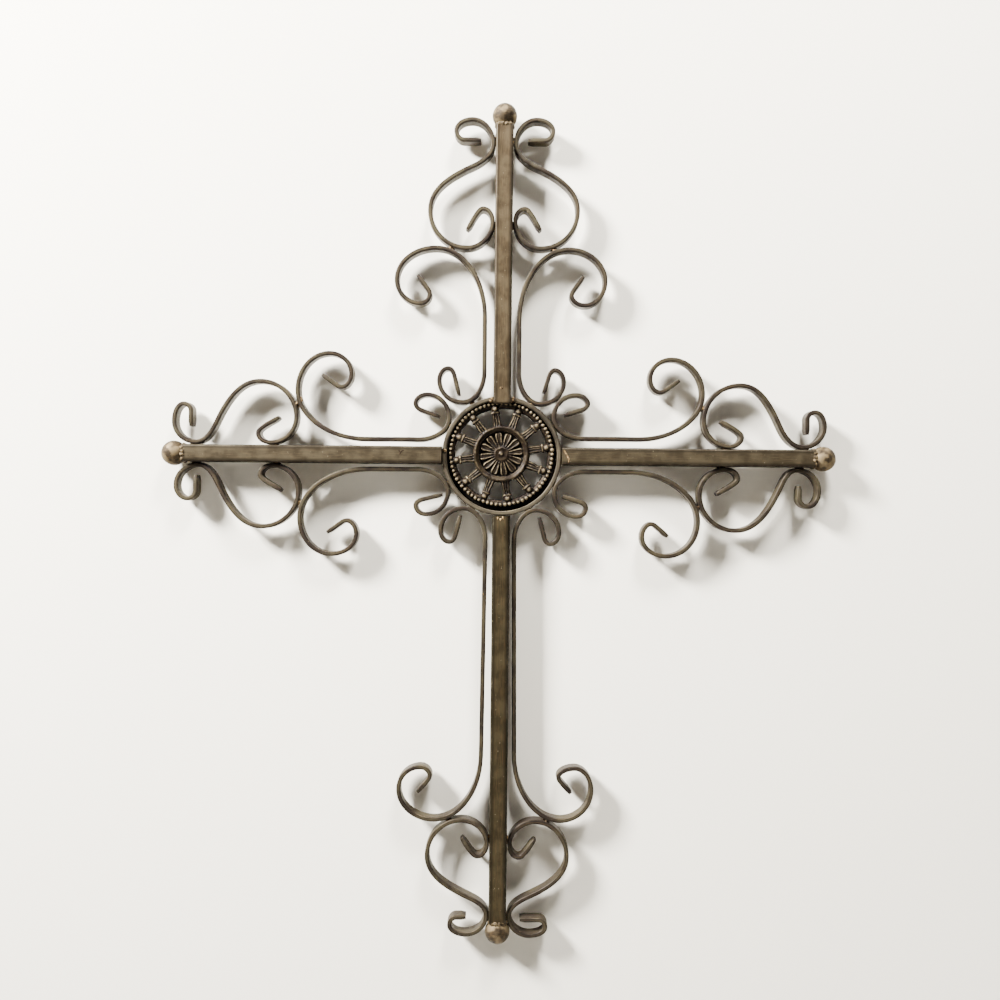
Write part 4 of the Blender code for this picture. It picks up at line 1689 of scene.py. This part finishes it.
    def ring_forms(self) -> list:
        """The rounded inner ring with its thin inner lip, and the disc inside it.

        Returns:
            The forms.
        """
        face = self.top + self.disc_recess
        base = self.back - 1.5 * MM
        ring = [
            (self.ring_outer, base),
            (self.ring_outer, self.top + 1.7 * MM),
            (self.ring_outer - 0.5 * MM, self.top + 0.8 * MM),
            (self.ring_outer - 1.2 * MM, self.top + 0.25 * MM),
            (self.ring_outer - 2.0 * MM, self.top + 0.25 * MM),
            (self.ring_outer - 2.7 * MM, self.top + 0.8 * MM),
            (self.ring_outer - 2.9 * MM, self.top + 1.5 * MM),
            (self.ring_inner + 0.9 * MM, self.top + 1.2 * MM),
            (self.ring_inner + 0.4 * MM, self.top + 1.2 * MM),
            (self.ring_inner, self.top + 1.9 * MM),
            (self.ring_inner, base),
        ]
        edge = self.ring_inner + 1 * MM
        disc = [(edge, base), (edge, face), (0.3 * MM, face), (0.3 * MM, base)]
        plug = self.ball(1.2 * MM, 0, 0, face + 0.6 * MM)
        return [self.turned(ring, 120, self.middle), self.turned(disc, 96, self.middle), plug]

    def petal_width(self, s: float) -> float:
        """A petal's half width at a share of its length."""
        round_end = math.sqrt(max(0.02, 1 - max(0.0, (s - 0.72) / 0.28) ** 2))
        return self.petal_half * (0.28 + 0.72 * s**0.8) * round_end

    def petal_height(self, s: float, t: float) -> float:
        """The height of a petal, with its raised edges and its middle rib.

        Args:
            s: the share along the petal.
            t: the share across it, -1 to 1.

        Returns:
            The height.
        """
        ridge = 1.15 * MM * math.exp(-(((abs(t) - 0.70) / 0.20) ** 2))
        middle = 0.55 * MM * math.exp(-((t / 0.18) ** 2))
        end = min(1.0, (1.0 - s) / 0.12 + 0.35)
        return (0.95 * MM + ridge + middle) * end

    def rosette_forms(self) -> list:
        """The rosette's petals and the boss.

        Returns:
            The forms.
        """
        face = self.top + self.disc_recess
        forms = []
        for i in range(self.petal_count):
            angle = self.petal_turn + 360 * i / self.petal_count
            ends = (self.petal_start, self.petal_end)
            forms.append(self.plate(ends, self.petal_width, self.petal_height, face, angle, (22, 14)))
        boss = [
            (0.2 * MM, face + 0.5 * MM),
            (self.boss_radius, face + 0.5 * MM),
            (self.boss_radius, face - 1.6 * MM),
            (self.boss_radius - 0.7 * MM, face - 2.2 * MM),
            (self.boss_radius - 1.5 * MM, face - 1.9 * MM),
            (2.0 * MM, face - 1.9 * MM),
            (0.2 * MM, face - 2.0 * MM),
        ]
        forms.append(self.turned(boss, 48, self.middle))
        forms.append(self.ball(1.8 * MM, 0, 0, face - 1.4 * MM, 0.75))
        return forms

    def fused(self, forms: list) -> bpy.types.Mesh:
        """The forms fused into one softened skin.

        Args:
            forms: points and faces of each.

        Returns:
            The skin.
        """
        points = []
        faces = []
        for form_points, form_faces in forms:
            start = len(points)
            points += form_points
            faces += [[number + start for number in face] for face in form_faces]
        raw = bpy.data.meshes.new("medallion_forms")
        raw.from_pydata(points, [], faces)
        face_outward(raw)
        holder = put("medallion_forms", raw)
        remesh = holder.modifiers.new("Fuse", "REMESH")
        remesh.mode = "VOXEL"
        remesh.voxel_size = self.grain
        remesh.adaptivity = 0.0
        smooth = holder.modifiers.new("Soften", "SMOOTH")
        smooth.factor = 0.5
        smooth.iterations = 2
        graph = bpy.context.evaluated_depsgraph_get()
        mesh = bpy.data.meshes.new_from_object(holder.evaluated_get(graph))
        bpy.data.objects.remove(holder, do_unlink=True)
        mesh.name = "centre_medallion"
        return mesh

    def roughen(self, mesh: bpy.types.Mesh) -> None:
        """Moves the skin a little, so that no two spokes, beads or petals match, as in a sand casting.

        Args:
            mesh: the skin, changed in place.
        """
        for vert in mesh.vertices:
            broad = noise.noise_vector(vert.co * 170)
            fine = noise.noise_vector(vert.co * 620)
            vert.co += (broad * 0.30 + fine * 0.16) * MM

    def age(self, mesh: bpy.types.Mesh) -> None:
        """Stores on the mesh where the relief stands proud and is rubbed, and the painted shade laid in its
        recesses and creases.

        Args:
            mesh: the skin, changed in place.
        """
        count = len(mesh.vertices)
        points = np.empty(count * 3)
        mesh.vertices.foreach_get("co", points)
        points = points.reshape(-1, 3)
        normals = np.empty(count * 3)
        mesh.vertices.foreach_get("normal", normals)
        normals = normals.reshape(-1, 3)
        ends = np.empty(len(mesh.edges) * 2, dtype=np.int64)
        mesh.edges.foreach_get("vertices", ends)
        ends = ends.reshape(-1, 2)
        bulge = ((points - around(points, ends)) * normals).sum(axis=1)[:, None]
        for _ in range(3):
            bulge = 0.5 * bulge + 0.5 * around(bulge, ends)
        crown = np.clip(bulge[:, 0] / self.crown_bulge, 0, 1)
        crease_shade = np.clip(-bulge[:, 0] / self.cleft_bulge, 0, 1)
        drop = np.clip((points[:, 1] - self.top - 1.4 * MM) / (2.6 * MM), 0, 1)
        reach = np.hypot(points[:, 0] - self.middle.x, points[:, 2] - self.middle.z)
        inside = reach < self.ring_inner
        drop[inside] *= 0.45
        crown[inside] = np.clip(1.35 * crown[inside], 0, 1)
        proud = np.clip((self.top + 1.0 * MM - points[:, 1]) / (0.8 * MM), 0, 1)
        rub = np.clip(crown + 0.36 * proud, 0, 1) * (1 - 0.75 * drop)
        rub[reach > self.bead_circle - 2 * self.bead_radius] *= 0.95
        # Painted shade: creases and the parts set back from the front are darkened, less inside the ring and
        # on the back
        dark = np.clip(0.85 * crease_shade + 1.0 * drop, 0, 1)
        rear = normals[:, 1] > 0.4
        rub[rear] = 0.4
        dark[rear] *= 0.4
        mesh.attributes.new("rub", "FLOAT", "POINT").data.foreach_set("value", rub.astype(np.float32))
        mesh.attributes.new("recess_painted_shade", "FLOAT", "POINT").data.foreach_set("value", dark.astype(np.float32))
        flow = mesh.attributes.new("flow", "FLOAT_VECTOR", "POINT")
        flow.data.foreach_set("vector", (points * 0.5).astype(np.float32).ravel())

    def dress(self, dresser: Dresser) -> None:
        """Adds the medallion.

        Args:
            dresser: adds the pieces.
        """
        forms = self.rim_forms() + self.spoke_forms() + self.ring_forms() + self.rosette_forms()
        mesh = self.fused(forms)
        self.age(mesh)
        self.roughen(mesh)
        mesh.shade_smooth()
        dresser.add("centre_medallion_casting", mesh, CAST_PAINT, Slot.CASTING, ("centre_medallion",))


@dataclass(frozen=True)
class Lamp:
    """A soft square lamp.

    Args:
        name: its name.
        spot: where it stands.
        aim: what it points at.
        size: its side.
        power: its strength in watts.
        colour: its colour.
    """

    name: str
    spot: tuple
    aim: tuple
    size: float
    power: float
    colour: tuple = (1.0, 0.97, 0.92)

    def hang(self) -> None:
        """Adds the lamp to the scene."""
        data = bpy.data.lights.new(self.name, "AREA")
        data.shape = "SQUARE"
        data.size = self.size
        data.energy = self.power
        data.color = self.colour
        made = put(self.name, data)
        made.location = self.spot
        made.rotation_euler = (Vector(self.aim) - Vector(self.spot)).to_track_quat("-Z", "Y").to_euler()


@dataclass
class Studio:
    """The plain pale backdrop and floor, the lamps and the camera.

    Args:
        backdrop_gap: room behind the cross.
        backdrop_top: the backdrop's top edge.
        half_width: half the width of the backdrop and the floor.
        floor_drop: how far the floor lies under the origin.
        floor_front: the floor's front edge, on Y.
        focal_pixels: the camera's focal length, in pixels.
        picture_pixels: the picture's width, in pixels.
        camera_from_fronts: distance from the camera to the bars' fronts.
        hub_right: how far the hub lies right of the camera's axis.
        hub_up: how far the hub lies over it.
        lean: how far the camera leans, in degrees.
    """

    backdrop_gap: float = 5.0 * MM
    backdrop_top: float = 2.5
    half_width: float = 3.0
    floor_drop: float = 2.2
    floor_front: float = -4.0
    focal_pixels: float = 929.0
    picture_pixels: float = 1000.0
    camera_from_fronts: float = 0.6689
    hub_right: float = 1.22 * MM
    hub_up: float = 31.97 * MM
    lean: float = 0.55

    def sheet(self, name: str, corners: list, finish: StagePaint) -> None:
        """Adds one flat stage sheet, facing the way its corners turn.

        Args:
            name: its name.
            corners: its corners.
            finish: its paint.
        """
        mesh = bpy.data.meshes.new(name)
        mesh.from_pydata(corners, [], [list(range(len(corners)))])
        mesh.materials.append(finish.make())
        put(name, mesh)

    def build(self) -> None:
        """Adds the stage, the light and the camera."""
        x = self.half_width
        y = self.backdrop_gap
        low = -self.floor_drop
        top = self.backdrop_top
        front = self.floor_front
        upright = [(-x, y, low), (x, y, low), (x, y, top), (-x, y, top)]
        floor = [(-x, front, low), (x, front, low), (x, y, low), (-x, y, low)]
        self.sheet("backdrop", upright, StagePaint("pale backdrop", (0.84, 0.81, 0.72)))
        self.sheet("floor", floor, StagePaint("pale floor", (0.80, 0.78, 0.74)))
        aim = (0.0, 0.0, HUB.z)
        for lamp in (
            Lamp("key lamp", (-1.15, -0.66, 0.70), aim, 0.32, 300),
            Lamp("high lamp", (0.26, -0.64, 0.98), aim, 0.32, 75),
            Lamp("front fill", (0.3, -1.9, -0.1), aim, 1.4, 1.0),
            Lamp("rear lamp", (0.6, 1.8, 0.6), aim, 1.2, 45),
        ):
            lamp.hang()
        self.light_around()
        self.set_camera()

    def light_around(self) -> None:
        """Adds soft light from all round: pale above and behind, dim in front and below."""
        world = bpy.data.worlds.new("soft light")
        world.use_nodes = True
        wires = Wires(world.node_tree.nodes, world.node_tree.links)
        axes = wires.nodes.new("ShaderNodeSeparateXYZ")
        wires.links.new(wires.nodes.new("ShaderNodeTexCoord").outputs["Generated"], axes.inputs[0])
        up = wires.between(axes.outputs["Z"], -0.3, 0.9)
        back = wires.between(axes.outputs["Y"], -0.1, 0.7)
        glow = wires.plus(wires.sum("MULTIPLY", up, 0.06), back, 0.34)
        glow = wires.sum("ADD", glow, 0.085)
        ground = wires.nodes["Background"]
        ground.inputs["Color"].default_value = (1.0, 0.91, 0.90, 1)
        wires.links.new(glow, ground.inputs["Strength"])
        bpy.context.scene.world = world

    def set_camera(self) -> None:
        """Adds the camera where the photograph was taken from."""
        data = bpy.data.cameras.new("camera")
        data.sensor_width = 36
        data.lens = self.focal_pixels / self.picture_pixels * data.sensor_width
        data.clip_start = 0.01
        made = put("camera", data)
        roll = math.radians(self.lean)
        right = Vector((math.cos(roll), 0, math.sin(roll)))
        up = Vector((-math.sin(roll), 0, math.cos(roll)))
        spot = HUB - right * self.hub_right - up * self.hub_up
        spot.y = -BAR_WIDTH - self.camera_from_fronts
        made.location = spot
        turn = Matrix((right, up, Vector((0, -1, 0)))).transposed()
        made.rotation_euler = turn.to_euler()
        bpy.context.scene.camera = made


def main() -> None:
    """Builds the looks of the wall cross."""
    logging.basicConfig(level=logging.INFO, format="%(message)s")
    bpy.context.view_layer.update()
    noise.seed_set(NOISE_SEED)
    dresser = Dresser()
    for arm in (
        ArmPiece("upper", Vector((0, 0, 1)), REACH_UP, UPPER_SIDES, 1.0, UPPER_BAR_LIT_PAINT),
        ArmPiece("lower", Vector((0, 0, -1)), REACH_DOWN, LOWER_SIDES, 2.0, LOWER_BAR_SHADED_PAINT),
        ArmPiece("left", Vector((-1, 0, 0)), REACH_LEFT, LEFT_SIDES, 3.0),
        ArmPiece("right", Vector((1, 0, 0)), REACH_RIGHT, RIGHT_SIDES, 4.0),
    ):
        arm.dress_bar(dresser)
        arm.dress_ball(dresser)
        arm.dress_strips(dresser)
    HoopPiece().dress(dresser)
    WeldMarks().dress(dresser)
    MedallionPiece().dress(dresser)
    Studio().build()


if __name__ == "__main__":
    main()
